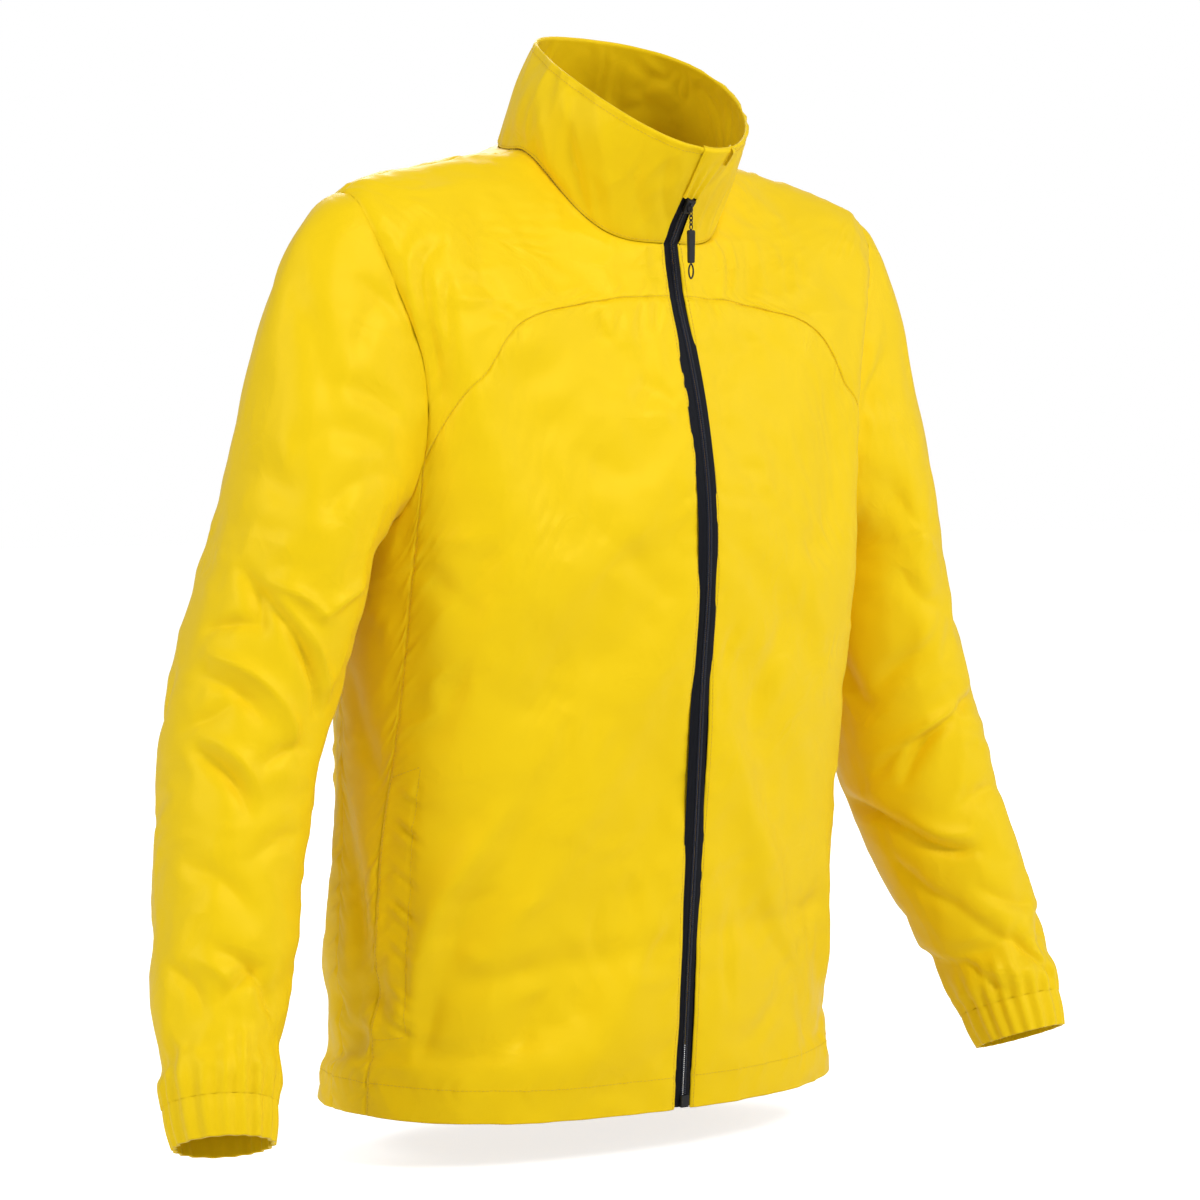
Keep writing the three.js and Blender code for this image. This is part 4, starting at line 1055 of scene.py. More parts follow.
def stitches(points, normals):
    """A row of stitches along a line of points, as one mesh's points and faces."""
    pitch = sizes().stitch_length / MM
    run = run_along(points[None], 1)[0]
    count = int(run[-1] / pitch)
    at = (np.arange(count) + 0.5) * pitch
    both = np.concatenate([points, normals], 1)

    def read(where):
        return np.stack([np.interp(where, run, both[:, k]) for k in range(6)], -1)
    middle = read(at)
    along = unit(read(at + 0.4 * pitch)[:, :3] - read(at - 0.4 * pitch)[:, :3])
    side = unit(np.cross(unit(middle[:, 3:]), along))
    axes = np.stack([along, side, np.cross(along, side)], 1)
    thread = sizes().thread / MM
    return stamped(rod(pitch * 0.78, thread, thread * 0.8), middle[:, :3] + unit(middle[:, 3:]) * 0.12, axes)


def merged_mesh(name, parts):
    """One mesh object from several lists of points and faces."""
    start = 0
    points, faces = [], []
    for p, f in parts:
        points.append(p)
        faces.append(f + start)
        start += len(p)
    return mesh_object(name, np.concatenate(points), np.concatenate(faces))


def zip_place(x, w):
    """A place on the zip's line, x to the wearer's left, and its outward normal."""
    x, w = np.broadcast_arrays(np.asarray(x, float), np.asarray(w, float))
    on_body = np.minimum(w, BODY_TOP)
    low = body_point(np.zeros_like(w), on_body)
    low_normal = body_normal(np.zeros_like(w), on_body)
    t = np.maximum(w - BODY_TOP, 0) / collar_front_length()
    phi = np.degrees(np.arcsin(x / through(COLLAR_RINGS, "t", "side_x", t)))
    high = collar_point(phi, t)
    at = np.where((w <= BODY_TOP)[..., None], low, high)
    at[..., 0] = x
    return at, np.where((w <= BODY_TOP)[..., None], low_normal, collar_normal(phi, t))


def collar_front_length():
    """The collar's height along the zip."""
    ends = collar_point(np.zeros(2), np.array([0.0, 1.0]))
    return float(np.linalg.norm(ends[1] - ends[0]))


def zip_end():
    """Where the zip stops, as a height along it."""
    return BODY_TOP + ZIP_TOP * collar_front_length()


def softened(name, node_name, width):
    """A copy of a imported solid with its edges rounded."""
    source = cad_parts[node_name]
    made = bmesh.new()
    made.from_mesh(source.data)
    made.transform(source.matrix_world)
    bmesh.ops.remove_doubles(made, verts=made.verts, dist=1e-6)
    bmesh.ops.dissolve_limit(made, angle_limit=0.02, verts=made.verts, edges=made.edges)
    sharp = [e for e in made.edges if len(e.link_faces) == 2 and e.calc_face_angle() > 0.5]
    bmesh.ops.bevel(made, geom=sharp, offset=width * MM, segments=3, profile=0.6, affect="EDGES")
    mesh = bpy.data.meshes.new(name)
    made.to_mesh(mesh)
    made.free()
    obj = bpy.data.objects.new(name, mesh)
    bpy.context.scene.collection.objects.link(obj)
    return obj


def sizes():
    """The sizes a user may change."""
    return bpy.context.scene.jacket_sizes


def colours():
    """The colours a user may change."""
    return bpy.context.scene.jacket_colours


# Materials

def new_group(name, inputs, outputs):
    """An empty shader node group with named inputs and outputs."""
    group = bpy.data.node_groups.new(name, "ShaderNodeTree")
    for socket, kind, default in inputs:
        item = group.interface.new_socket(socket, in_out="INPUT", socket_type=kind)
        item.default_value = default
    for socket, kind in outputs:
        group.interface.new_socket(socket, in_out="OUTPUT", socket_type=kind)
    return group, group.nodes.new("NodeGroupInput"), group.nodes.new("NodeGroupOutput")


def node(tree, kind, inputs=None, **settings):
    """A node with its settings and its inputs, each a value or a socket to link from."""
    made = tree.nodes.new(kind)
    for name, value in settings.items():
        setattr(made, name, value)
    for name, value in (inputs or {}).items():
        if isinstance(value, bpy.types.NodeSocket):
            tree.links.new(value, made.inputs[name])
        else:
            made.inputs[name].default_value = value
    return made


def calc(tree, operation, a, b=0.0, c=0.0):
    """One step of arithmetic."""
    return node(tree, "ShaderNodeMath", {0: a, 1: b, 2: c}, operation=operation).outputs[0]


def weave_group():
    """A plain weave's height, 0 to 1, from a place on the cut in metres."""
    if "plain_weave" in bpy.data.node_groups:
        return bpy.data.node_groups["plain_weave"]
    group, given, out = new_group(
        "plain_weave",
        [("Place", "NodeSocketVector", (0, 0, 0)), ("Threads per metre", "NodeSocketFloat", 3000.0)],
        [("Height", "NodeSocketFloat")],
    )
    scaled = node(group, "ShaderNodeVectorMath", {0: given.outputs[0], "Scale": given.outputs[1]}, operation="SCALE")
    split = node(group, "ShaderNodeSeparateXYZ", {0: scaled.outputs[0]})
    warp = calc(group, "SINE", calc(group, "MULTIPLY", split.outputs[0], math.pi))
    weft = calc(group, "SINE", calc(group, "MULTIPLY", split.outputs[1], math.pi))
    height = calc(group, "MULTIPLY_ADD", calc(group, "MULTIPLY", warp, weft), 0.5, 0.5)
    group.links.new(height, out.inputs[0])
    return group


def creases_group():
    """Fine creases of thin cloth: a height and a mask that is bright on the crests."""
    if "fine_creases" in bpy.data.node_groups:
        return bpy.data.node_groups["fine_creases"]
    group, given, out = new_group(
        "fine_creases",
        [("Place", "NodeSocketVector", (0, 0, 0)), ("Size", "NodeSocketFloat", 30.0),
         ("Bend", "NodeSocketFloat", 1.2)],
        [("Height", "NodeSocketFloat"), ("Mask", "NodeSocketFloat")],
    )
    broad = node(group, "ShaderNodeTexNoise", {
        "Vector": given.outputs["Place"], "Scale": given.outputs["Size"], "Detail": 3.0, "Roughness": 0.45,
        "Distortion": given.outputs["Bend"]})
    ridge = calc(group, "ABSOLUTE", calc(group, "SUBTRACT", broad.outputs[0], 0.5))
    crisp = calc(group, "SUBTRACT", 1.0, calc(group, "MULTIPLY", ridge, 4.0))
    soft = node(group, "ShaderNodeTexNoise", {
        "Vector": given.outputs["Place"], "Scale": calc(group, "MULTIPLY", given.outputs["Size"], 0.45),
        "Detail": 2.0, "Roughness": 0.5, "Distortion": 0.6})
    where = node(group, "ShaderNodeMapRange", {"Value": soft.outputs[0], "From Min": 0.42, "From Max": 0.65})
    both = calc(group, "MULTIPLY", crisp, where.outputs[0])
    height = calc(group, "MULTIPLY_ADD", both, 0.35, calc(group, "MULTIPLY", soft.outputs[0], 1.0))
    group.links.new(height, out.inputs["Height"])
    group.links.new(both, out.inputs["Mask"])
    return group


def new_material(name, roughness):
    """A material with only its Principled shader."""
    material = bpy.data.materials.new(name)
    material.use_nodes = True
    shader = material.node_tree.nodes["Principled BSDF"]
    shader.inputs["Roughness"].default_value = roughness
    return material, material.node_tree, shader


def cloth_material():
    """Thin plain-woven polyester: bright, slightly shiny, with fine creases, and painted shade in the weave's hollows.
    """
    if "shell_cloth" in bpy.data.materials:
        return bpy.data.materials["shell_cloth"]
    material, tree, shader = new_material("shell_cloth", 0.42)
    place = node(tree, "ShaderNodeTexCoord").outputs["Object"]
    cut = node(tree, "ShaderNodeUVMap", uv_map="cut").outputs[0]
    creases = node(tree, "ShaderNodeGroup", {}, node_tree=creases_group())
    tree.links.new(place, creases.inputs["Place"])
    creases.inputs["Size"].default_value = 26.0
    weave = node(tree, "ShaderNodeGroup", {}, node_tree=weave_group())
    tree.links.new(cut, weave.inputs["Place"])
    weave.inputs["Threads per metre"].default_value = 3200.0
    # Where the weave is low the darker shell colour is mixed in: painted shade between the threads.
    tone = node(tree, "ShaderNodeMix", {"Factor": weave.outputs["Height"]}, data_type="RGBA")
    tone.inputs["A"].default_value = (*colours().shell_shade_and_thread, 1)
    tone.inputs["B"].default_value = (*colours().shell, 1)
    tree.links.new(tone.outputs["Result"], shader.inputs["Base Color"])
    rough = node(tree, "ShaderNodeMapRange", {"Value": creases.outputs["Mask"], "To Min": 0.5, "To Max": 0.42})
    tree.links.new(rough.outputs[0], shader.inputs["Roughness"])
    bend = node(tree, "ShaderNodeBump", {"Height": creases.outputs["Height"], "Strength": 0.35, "Distance": 0.004})
    fine = node(tree, "ShaderNodeBump", {
        "Height": weave.outputs["Height"], "Strength": 0.12, "Distance": 0.0001, "Normal": bend.outputs[0]})
    tree.links.new(fine.outputs[0], shader.inputs["Normal"])
    shader.inputs["Specular IOR Level"].default_value = 0.42
    shader.inputs["Specular Tint"].default_value = (1, 0.8, 0.2, 1)
    shader.inputs["Sheen Weight"].default_value = 0.04
    shader.inputs["Sheen Roughness"].default_value = 0.4
    return material


def mesh_lining_material():
    """Warp-knit mesh: rows of small holes, painted darker as the shade seen through them."""
    if "lining_mesh" in bpy.data.materials:
        return bpy.data.materials["lining_mesh"]
    material, tree, shader = new_material("lining_mesh", 0.75)
    cut = node(tree, "ShaderNodeUVMap", uv_map="cut").outputs[0]
    cells = node(tree, "ShaderNodeTexVoronoi", {"Vector": cut, "Scale": 420.0, "Randomness": 0.15})
    hole = node(tree, "ShaderNodeMapRange", {
        "Value": cells.outputs["Distance"], "From Min": 0.22, "From Max": 0.36})
    # The holes are painted at 0.35 times the lining's colour: painted shade seen through them.
    tone = node(tree, "ShaderNodeMix", {"Factor": hole.outputs[0]}, data_type="RGBA")
    tone.inputs["A"].default_value = (*(0.35 * c for c in colours().lining), 1)
    tone.inputs["B"].default_value = (*colours().lining, 1)
    tree.links.new(tone.outputs["Result"], shader.inputs["Base Color"])
    bump = node(tree, "ShaderNodeBump", {"Height": hole.outputs[0], "Strength": 0.5, "Distance": 0.0005})
    tree.links.new(bump.outputs[0], shader.inputs["Normal"])
    return material


def thread_material():
    """Sewing thread."""
    if "sewing_thread" in bpy.data.materials:
        return bpy.data.materials["sewing_thread"]
    material, tree, shader = new_material("sewing_thread", 0.5)
    place = node(tree, "ShaderNodeTexCoord").outputs["Object"]
    strands = node(tree, "ShaderNodeTexNoise", {"Vector": place, "Scale": 900.0, "Detail": 1.0})
    tone = node(tree, "ShaderNodeMix", {"Factor": strands.outputs[0]}, data_type="RGBA")
    tone.inputs["A"].default_value = (*(0.72 * c for c in colours().shell_shade_and_thread), 1)
    tone.inputs["B"].default_value = (*colours().shell_shade_and_thread, 1)
    tree.links.new(tone.outputs["Result"], shader.inputs["Base Color"])
    return material


def black_material(name, roughness, metallic=0.0, tint=(0.004, 0.0045, 0.007), scale=600.0, weave=False):
    """Black tape, plastic, rubber or coated metal, with a fine grain; on a woven tape the weave's hollows are painted
    darker as shade.
    """
    if name in bpy.data.materials:
        return bpy.data.materials[name]
    material, tree, shader = new_material(name, roughness)
    shader.inputs["Metallic"].default_value = metallic
    place = node(tree, "ShaderNodeTexCoord").outputs["Object"]
    if weave:
        grain = node(tree, "ShaderNodeGroup", {}, node_tree=weave_group())
        tree.links.new(place, grain.inputs["Place"])
        grain.inputs["Threads per metre"].default_value = 1500.0
        height = grain.outputs["Height"]
    else:
        grain = node(tree, "ShaderNodeTexNoise", {"Vector": place, "Scale": scale, "Detail": 3.0})
        height = grain.outputs[0]
    # On a woven tape the weave's hollows take the plain tint and its threads the lighter one: painted shade.
    tone = node(tree, "ShaderNodeMix", {"Factor": height}, data_type="RGBA")
    tone.inputs["A"].default_value = (*tint, 1)
    tone.inputs["B"].default_value = (*(1.9 * c for c in tint), 1)
    shader.inputs["Specular IOR Level"].default_value = 0.12 if weave else 0.35
    tree.links.new(tone.outputs["Result"], shader.inputs["Base Color"])
    bump = node(tree, "ShaderNodeBump", {"Height": height, "Strength": 0.3, "Distance": 0.0002})
    tree.links.new(bump.outputs[0], shader.inputs["Normal"])
    return material


# Properties

class JacketSizes(bpy.types.PropertyGroup):
    """Sizes of the jacket's small parts."""
    zip_width: bpy.props.FloatProperty(
        name="Zip width", description="Width of black zip between the fronts", default=0.0136, unit="LENGTH")
    seam_depth: bpy.props.FloatProperty(
        name="Seam depth", description="How far the cloth sinks at a seam", default=0.0009, unit="LENGTH")
    stitch_length: bpy.props.FloatProperty(
        name="Stitch length", description="Length of one stitch", default=0.003, unit="LENGTH")
    thread: bpy.props.FloatProperty(
        name="Thread", description="Thickness of the sewing thread", default=0.0005, unit="LENGTH")


class JacketColours(bpy.types.PropertyGroup):
    """Colours of the jacket."""
    shell: bpy.props.FloatVectorProperty(
        name="Shell", description="Colour of the cloth", default=(0.93, 0.66, 0.006), subtype="COLOR")
    # The deep shell colour is painted shade between the cloth's threads; the sewing thread's colour is made from it
    # too.
    shell_shade_and_thread: bpy.props.FloatVectorProperty(
        name="Shell, deep", description="Colour between the cloth's threads", default=(0.86, 0.57, 0.004),
        subtype="COLOR")
    lining: bpy.props.FloatVectorProperty(
        name="Lining", description="Colour of the mesh lining", default=(0.78, 0.50, 0.03), subtype="COLOR")


# Operators

BODY_PUCKERS = {
    "front": [
        ("left", 0, 1.0, 15, 13, 0.8, 1.0),
        ("right", 0, 1.8, 12, 9, -0.6, 2.0),
        ("top", 0, 1.6, 11, 11, 0.3, 3.0),
        ("bottom", HEM_FOLD, 1.3, 10, 8, 0.7, 4.0),
    ],
    "front_yoke": [
        ("left", 0, 0.9, 12, 9, 0.5, 1.5),
        ("bottom", 0, 1.1, 13, 10, 0.3, 3.5),
        ("right", 0, 1.3, 15, 12, 0.3, 5.5),
        ("top", 0, 1.0, 13, 12, 0.3, 6.5),
    ],
    "side_panel": [
        ("left", 0, 1.8, 13, 11, 0.6, 2.5),
        ("right", 0, 1.6, 13, 11, 0.6, 7.5),
        ("bottom", HEM_FOLD, 1.2, 10, 9, 0.5, 4.5),
        ("top", 0, 1.0, 13, 12, 0.3, 8.5),
    ],
    "back": [
        ("left", 0, 1.6, 13, 12, 0.5, 9.0),
        ("right", 0, 1.6, 12, 12, 0.5, 10.0),
        ("top", 0, 1.0, 13, 12, 0.3, 11.0),
        ("bottom", HEM_FOLD, 1.2, 10, 9, 0.5, 12.0),
    ],
}

# The flat cut of each piece: width, length and area, in metres
CUTS = {
    "front": (0.26, 0.60, 0.135),
    "front_yoke": (0.24, 0.20, 0.030),
    "side_panel": (0.11, 0.50, 0.030),
    "back": (0.64, 0.70, 0.40),
    "sleeve": (0.46, 0.56, 0.21),
    "cuff": (0.25, 0.06, 0.0150),
    "collar": (0.46, 0.20, 0.085),
    "zip_garage": (0.040, 0.048, 0.0018),
    "zip_tape": (0.016, 0.72, 0.0064),
    "neck_lining": (0.36, 0.09, 0.026),
    "pocket_facing": (0.03, 0.195, 0.0045),
}


def declare(obj, kind, held="hung", **more):
    """Reads a piece's cut from the table and returns the piece as it is."""
    width, length, area = CUTS[kind]
    return (obj, min(area, width * length))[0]


class JACKET_OT_body(bpy.types.Operator):
    """Makes the fronts, front yokes, side panels and back"""
    bl_idname = "jacket.body"
    bl_label = "Body panels"

    def execute(self, context):
        make_cloth()
        for name in [n for n in cloth if not n.startswith("sleeve")]:
            piece = cloth[name]
            kind = name.rsplit("_", 1)[0] if name != "back" else name
            points = puckered(piece["points"], piece["normals"], BODY_PUCKERS[kind])
            if kind == "front":
                points = pocket_shaped(points, piece["normals"], piece["places"][..., 1])
            edges = ["left", "right", "top"] + (["bottom"] if kind == "front_yoke" else [])
            points = sunk_edges(points, piece["normals"], edges, sizes().seam_depth / MM)
            normals = grid_normals(points, False, piece["normals"])
            piece["points"], piece["normals"] = points, normals
            if kind != "front_yoke":
                points, normals = turned_under(points, normals, "bottom", HEM_FOLD, 1.2)
            if kind in ("front", "front_yoke"):
                points, normals = turned_under(points, normals, "left", 10, 1.0)
            obj = grid_mesh(f"{name}_cloth", points, normals)
            cut_map(obj, points)
            finish_piece(obj, "jacket", cloth_material(), [name])
            declare(obj, kind)
        return {"FINISHED"}


def pocket_span(v):
    """Where along a front's side the pocket is, from 0 to 1."""
    return smoothstep(v, POCKET_FROM - 3, POCKET_FROM + 5) * smoothstep(POCKET_TO + 3 - v, 0, 8)


def pocket_shaped(points, normals, v):
    """A front with its pocket mouth a little open, puckered up to the stitching of the facing."""
    away, run = from_edge(points, "right")
    inside = pocket_span(v)
    mouth = 1.5 * np.exp(-(away / 5) ** 2)
    sewn = 0.8 * np.exp(-((away - POCKET_DEPTH) / 2) ** 2)
    wave = ripple(run + 0.8 * away, 11, 2.7) * smoothstep(away, 4, POCKET_DEPTH - 6)
    wave = 2.0 * wave * smoothstep(POCKET_DEPTH + 12 - away, 0, 14)
    return points + normals * (inside * (mouth - sewn + wave))[..., None]


class JACKET_OT_sleeves(bpy.types.Operator):
    """Makes the sleeves, with their ease at the armhole and their gathers at the cuff"""
    bl_idname = "jacket.sleeves"
    bl_label = "Sleeves"

    def execute(self, context):
        make_cloth()
        for side in ("right", "left"):
            name = f"sleeve_{side}"
            piece = cloth[name]
            theta, s = piece["places"][..., 0], piece["places"][..., 1]
            seed = 1.0 if side == "right" else 2.0
            top = run_along(piece["points"], 0)
            around = np.radians(theta) * 60
            ease = 1.4 * ripple(around + 0.3 * top, 17, seed) * np.exp(-(top / 20) ** 1.3)
            lift = ease + gather_lift(theta, s, seed)
            points = piece["points"] + piece["normals"] * lift[..., None]
            points = sunk_edges(points, piece["normals"], ["bottom"], sizes().seam_depth / MM)
            seam = np.abs(theta - 180) * 0.9
            points = points - piece["normals"] * (0.7 * np.exp(-(seam / 2.0) ** 2))[..., None]
            piece["points"] = points
            piece["normals"] = grid_normals(points, True, piece["normals"])
            obj = grid_mesh(f"{name}_cloth", points, piece["normals"], True)
            cut_map(obj, points)
            finish_piece(obj, "jacket", cloth_material(), [name])
            declare(obj, "sleeve")
        return {"FINISHED"}


def gather_lift(theta, s, seed):
    """Gathers that deepen towards the cuff seam, uneven in length."""
    wave = gather_wave(theta, seed)
    longer = 40 * (0.6 + 0.4 * np.sin(np.radians(theta) * 5 + seed))
    return 1.7 * wave * smoothstep(s, SLEEVE_END - 26 - longer, SLEEVE_END)


def gather_wave(theta, seed):
    """The gathers' uneven wave round the cuff."""
    a = np.radians(theta)
    return np.sin(19 * a + 1.3 * np.sin(2 * a + seed) + 0.9 * np.sin(3 * a + 2 * seed))


class JACKET_OT_cuffs(bpy.types.Operator):
    """Makes the gathered elastic cuffs"""
    bl_idname = "jacket.cuffs"
    bl_label = "Cuffs"

    def execute(self, context):
        lean = unit(np.array(CUFF_LEAN))
        columns = 228
        theta = np.linspace(0, 360, columns, endpoint=False)
        down = np.concatenate([[0, 0.8, 2.0], np.linspace(3.5, CUFF_LENGTH - 3.5, 9),
                               [CUFF_LENGTH - 2, CUFF_LENGTH - 0.8, CUFF_LENGTH]])
        for side in ("right", "left"):
            seed = 1.0 if side == "right" else 2.0
            arm = SLEEVES[side]
            centre, _, out, forward = arm_frame(arm, np.array(float(SLEEVE_END)))
            middle = np.sin(np.pi * down / CUFF_LENGTH)
            wave = gather_wave(theta, seed)
            outer = self.ring(arm, centre, out, forward, lean, theta, down, wave[None] * 1.2 + middle[:, None] * 1.0)
            inner = self.ring(arm, centre, out, forward, lean, theta, down, wave[None] * 1.0 - 2.2)
            points = np.concatenate([outer, inner[::-1]])
            if side == "right":
                points = points * (-1, 1, 1)
                centre = centre * (-1, 1, 1)
            normals = unit(points - centre - np.array([0, 0, -CUFF_LENGTH / 2]))
            normals[len(down):] *= -1
            obj = grid_mesh(f"cuff_{side}_cloth", points, normals, True)
            cut_map(obj, points)
            finish_piece(obj, "jacket", cloth_material(), [f"cuff_{side}"])
            declare(obj, "cuff", "gathered")
        return {"FINISHED"}

    @staticmethod
    def ring(arm, centre, out, forward, lean, theta, down, crest):
        """A tube of the cuff, its radius raised by crest."""
        size = 1 + (CUFF_TAPER - 1) * down[:, None] / CUFF_LENGTH
        a = np.radians(theta)[None]
        across = (through(arm, "s", "outer", SLEEVE_END) * size + crest) * np.cos(a)
        ahead = (through(arm, "s", "front", SLEEVE_END) * size + crest) * np.sin(a)
        return centre + lean * down[:, None, None] + out * across[..., None] + forward * ahead[..., None]


class JACKET_OT_collar(bpy.types.Operator):
    """Makes the stand-up collar of two layers"""
    bl_idname = "jacket.collar"
    bl_label = "Collar"

    def execute(self, context):
        around = np.linspace(0, 360, 330)
        height = np.concatenate([[0, 0.012, 0.04], np.linspace(0.08, 0.92, 24), [0.95, 0.975, 1.0]])
        half = np.degrees(np.arcsin(sizes().zip_width / MM / 2 / through(COLLAR_RINGS, "t", "side_x", height)))
        phi = half[:, None] + (360 - 2 * half[:, None]) * around[None] / 360
        t = np.broadcast_to(height[:, None], phi.shape)
        normal = collar_normal(phi, t)
        at = collar_point(phi, t)
        run = run_along(at, 1)
        up = run_along(at, 0)
        below = up[-1:] - up
        lift = 0.7 * ripple(run + 0.4 * up, 12, 1.0) * np.exp(-(up / 10) ** 1.3)
        lift += 0.5 * ripple(run + 0.2 * below, 9, 2.0) * np.exp(-(np.abs(below - 6) / 6) ** 1.3)
        lift += 1.2 * crumple(at * (1, 1, 0.35), 26, 3)
        lift -= fold_depth(at, fold_lines(COLLAR_FOLDS, collar_point)) * smoothstep(up, 0, 8)
        lift -= 0.7 * np.exp(-((below - 5) / 1.2) ** 2)
        lift -= 0.8 * np.exp(-(up / 1.5) ** 2)
        outer = at + normal * (lift * smoothstep(up, 0, 3))[..., None] - normal * 0.3
        inner = at - normal * 2.6 + normal * (1.2 * crumple(at * (1, 1, 0.5), 22, 9) * smoothstep(below, 0, 12))[..., None]
        top = (outer[-1:] + inner[-1:]) / 2 + np.array([0, 0, 0.9])
        points = np.concatenate([outer, top, inner[::-1]])
        normals = np.concatenate([normal, np.broadcast_to([0.0, 0, 1], top.shape), -normal[::-1]])
        cloth["collar"] = {"points": outer, "normals": grid_normals(outer, False, normal), "wrapped": False}
        obj = grid_mesh("collar_cloth", points, normals)
        cut_map(obj, points)
        finish_piece(obj, "jacket", cloth_material(), ["collar"])
        declare(obj, "collar", "folded")
        return {"FINISHED"}


class JACKET_OT_inside(bpy.types.Operator):
    """Makes the mesh lining behind the neck and the pocket facings"""
    bl_idname = "jacket.inside"
    bl_label = "Lining and facings"

    def execute(self, context):
        back = cloth["back"]
        rows = np.flatnonzero(back["places"][:, back["places"].shape[1] // 2, 1] > LINING_FROM)[:-2]
        normal = back["normals"][rows, 3:-3]
        points = back["points"][rows, 3:-3] - normal * 2.6
        obj = grid_mesh("neck_lining_mesh", points, -normal)
        cut_map(obj, points)
        finish_piece(obj, "jacket", mesh_lining_material(), ["neck_lining"])
        declare(obj, "neck_lining")
        for side in ("right", "left"):
            front = cloth[f"front_{side}"]
            away = from_edge(front["points"], "right")[0].mean(0)
            v = front["places"][:, -1, 1]
            rows = np.flatnonzero((v > POCKET_FROM) & (v < POCKET_TO))
            columns = np.flatnonzero((away < POCKET_DEPTH) & (away > 0.5))
            block = np.ix_(rows, columns)
            normal = front["normals"][block]
            points = front["points"][block] - normal * 1.4
            obj = grid_mesh(f"pocket_facing_{side}_cloth", points, normal)
            cut_map(obj, points)
            finish_piece(obj, "jacket", cloth_material(), [f"pocket_facing_{side}"])
            declare(obj, "pocket_facing")
        return {"FINISHED"}


class JACKET_OT_stitching(bpy.types.Operator):
    """Sews the hem, the fronts' edges, the seams, the pockets and the collar"""
    bl_idname = "jacket.stitching"
    bl_label = "Stitching"

    def execute(self, context):
        rows = []
        for name in ("front_left", "front_right", "side_panel_left", "side_panel_right", "back"):
            rows.append(stitches(*line_on(cloth[name], "bottom", HEM_FOLD)))
        for side in ("left", "right"):
            front = cloth[f"front_{side}"]
            rows.append(stitches(*line_on(front, "left", 2.5)))
            rows.append(stitches(*line_on(cloth[f"front_yoke_{side}"], "left", 2.5)))
            rows.append(stitches(*line_on(front, "right", 2.0)))
            rows.append(stitches(*line_on(cloth[f"front_yoke_{side}"], "bottom", 1.6)))
            rows.append(self.facing_row(front))
            rows.extend(self.facing_ends(front))
        rows.append(stitches(*line_on(cloth["collar"], "top", 5)))
        rows.append(stitches(*line_on(cloth["collar"], "bottom", 1.8)))
        obj = merged_mesh("stitching", rows)
        finish_piece(obj, "jacket", thread_material())
        return {"FINISHED"}

    @staticmethod
    def facing_row(front):
        """The long row that holds a pocket's facing."""
        points, normals = line_on(front, "right", POCKET_DEPTH)
        v = front["places"][:, -1, 1]
        held = (v > POCKET_FROM) & (v < POCKET_TO)
        return stitches(points[held], normals[held])

    @staticmethod
    def facing_ends(front):
        """The two short rows that close a pocket's ends."""
        away = from_edge(front["points"], "right")[0]
        v = front["places"][:, -1, 1]
        for height in (POCKET_FROM, POCKET_TO):
            row = int(np.argmin(np.abs(v - height)))
            held = away[row] < POCKET_DEPTH
            yield stitches(front["points"][row][held], front["normals"][row][held])


class JACKET_OT_zip(bpy.types.Operator):
    """Makes the zip's tapes and coil, and the garage over its end"""
    bl_idname = "jacket.zip"
    bl_label = "Zip"

    def execute(self, context):
        w = np.arange(ZIP_FOOT, zip_end(), 2.0)
        tape = black_material("zip_tape_weave", 0.62, weave=True)
        x, lift = np.array(TAPE_SECTION).T
        for side, flip in (("left", 1), ("right", -1)):
            at, normal = zip_place(flip * x[None], w[:, None])
            points = at + normal * lift[None, :, None]
            obj = grid_mesh(f"zip_tape_{side}_weave", points, normal)
            cut_map(obj, points)
            finish_piece(obj, "jacket", tape, [f"zip_tape_{side}"])
            declare(obj, "zip_tape")
        self.coil()
        self.garage()
        return {"FINISHED"}

    @staticmethod
    def coil():
        """The closed coil: slanted turns that meet in the middle."""
        parts = []
        for flip, shift in ((1, 0.0), (-1, 0.5)):
            w = np.arange(ZIP_FOOT + 8 + shift * TOOTH_PITCH, zip_end() - 2, TOOTH_PITCH)
            at, normal = zip_place(flip * 1.15, w)
            ahead = zip_place(flip * 1.15, w + 1)[0]
            up = unit(ahead - at)
            along = unit(np.array([flip, 0, 0]) + 0.35 * up)
            side = unit(np.cross(normal, along))
            axes = np.stack([along, side, np.cross(along, side)], 1)
            parts.append(stamped(rod(2.3, 1.0, 1.0), at - normal * 0.1, axes))
        obj = merged_mesh("zip_coil", parts)
        finish_piece(obj, "jacket", black_material("coil_nylon", 0.34, tint=(0.014, 0.017, 0.028)))

    @staticmethod
    def garage():
        """The gathered flap that covers the zip's end, folded at its edges."""
        w = np.linspace(zip_end() - 1, BODY_TOP + collar_front_length() + 1.2, 40)
        up = ((w - w[0]) / (w[-1] - w[0]))[:, None]
        s = np.linspace(0, 1, 46)[None]
        half = sizes().zip_width / MM / 2 + 0.6
        x = -half - 1.5 * up + s * (2 * half + 1.5 * up + 11 * smoothstep(up, 0, 1) ** 0.8)
        at, normal = zip_place(x, w[:, None])
        gathers = 0.9 * np.sin(5.5 * math.pi * s + 1.5 * np.sin(3 * up)) * smoothstep(1 - up, 0, 0.9)
        lift = 2.0 + gathers - 1.4 * (np.abs(2 * s - 1) ** 6)
        points = at + normal * lift[..., None]
        points, normals = turned_under(points, normal, "right", 3, 0.7)
        points, normals = turned_under(points, normals, "top", 12, 3.4)
        obj = grid_mesh("zip_garage_cloth", points, normals)
        cut_map(obj, points)
        finish_piece(obj, "jacket", cloth_material(), ["zip_garage"])
        declare(obj, "zip_garage", "folded")


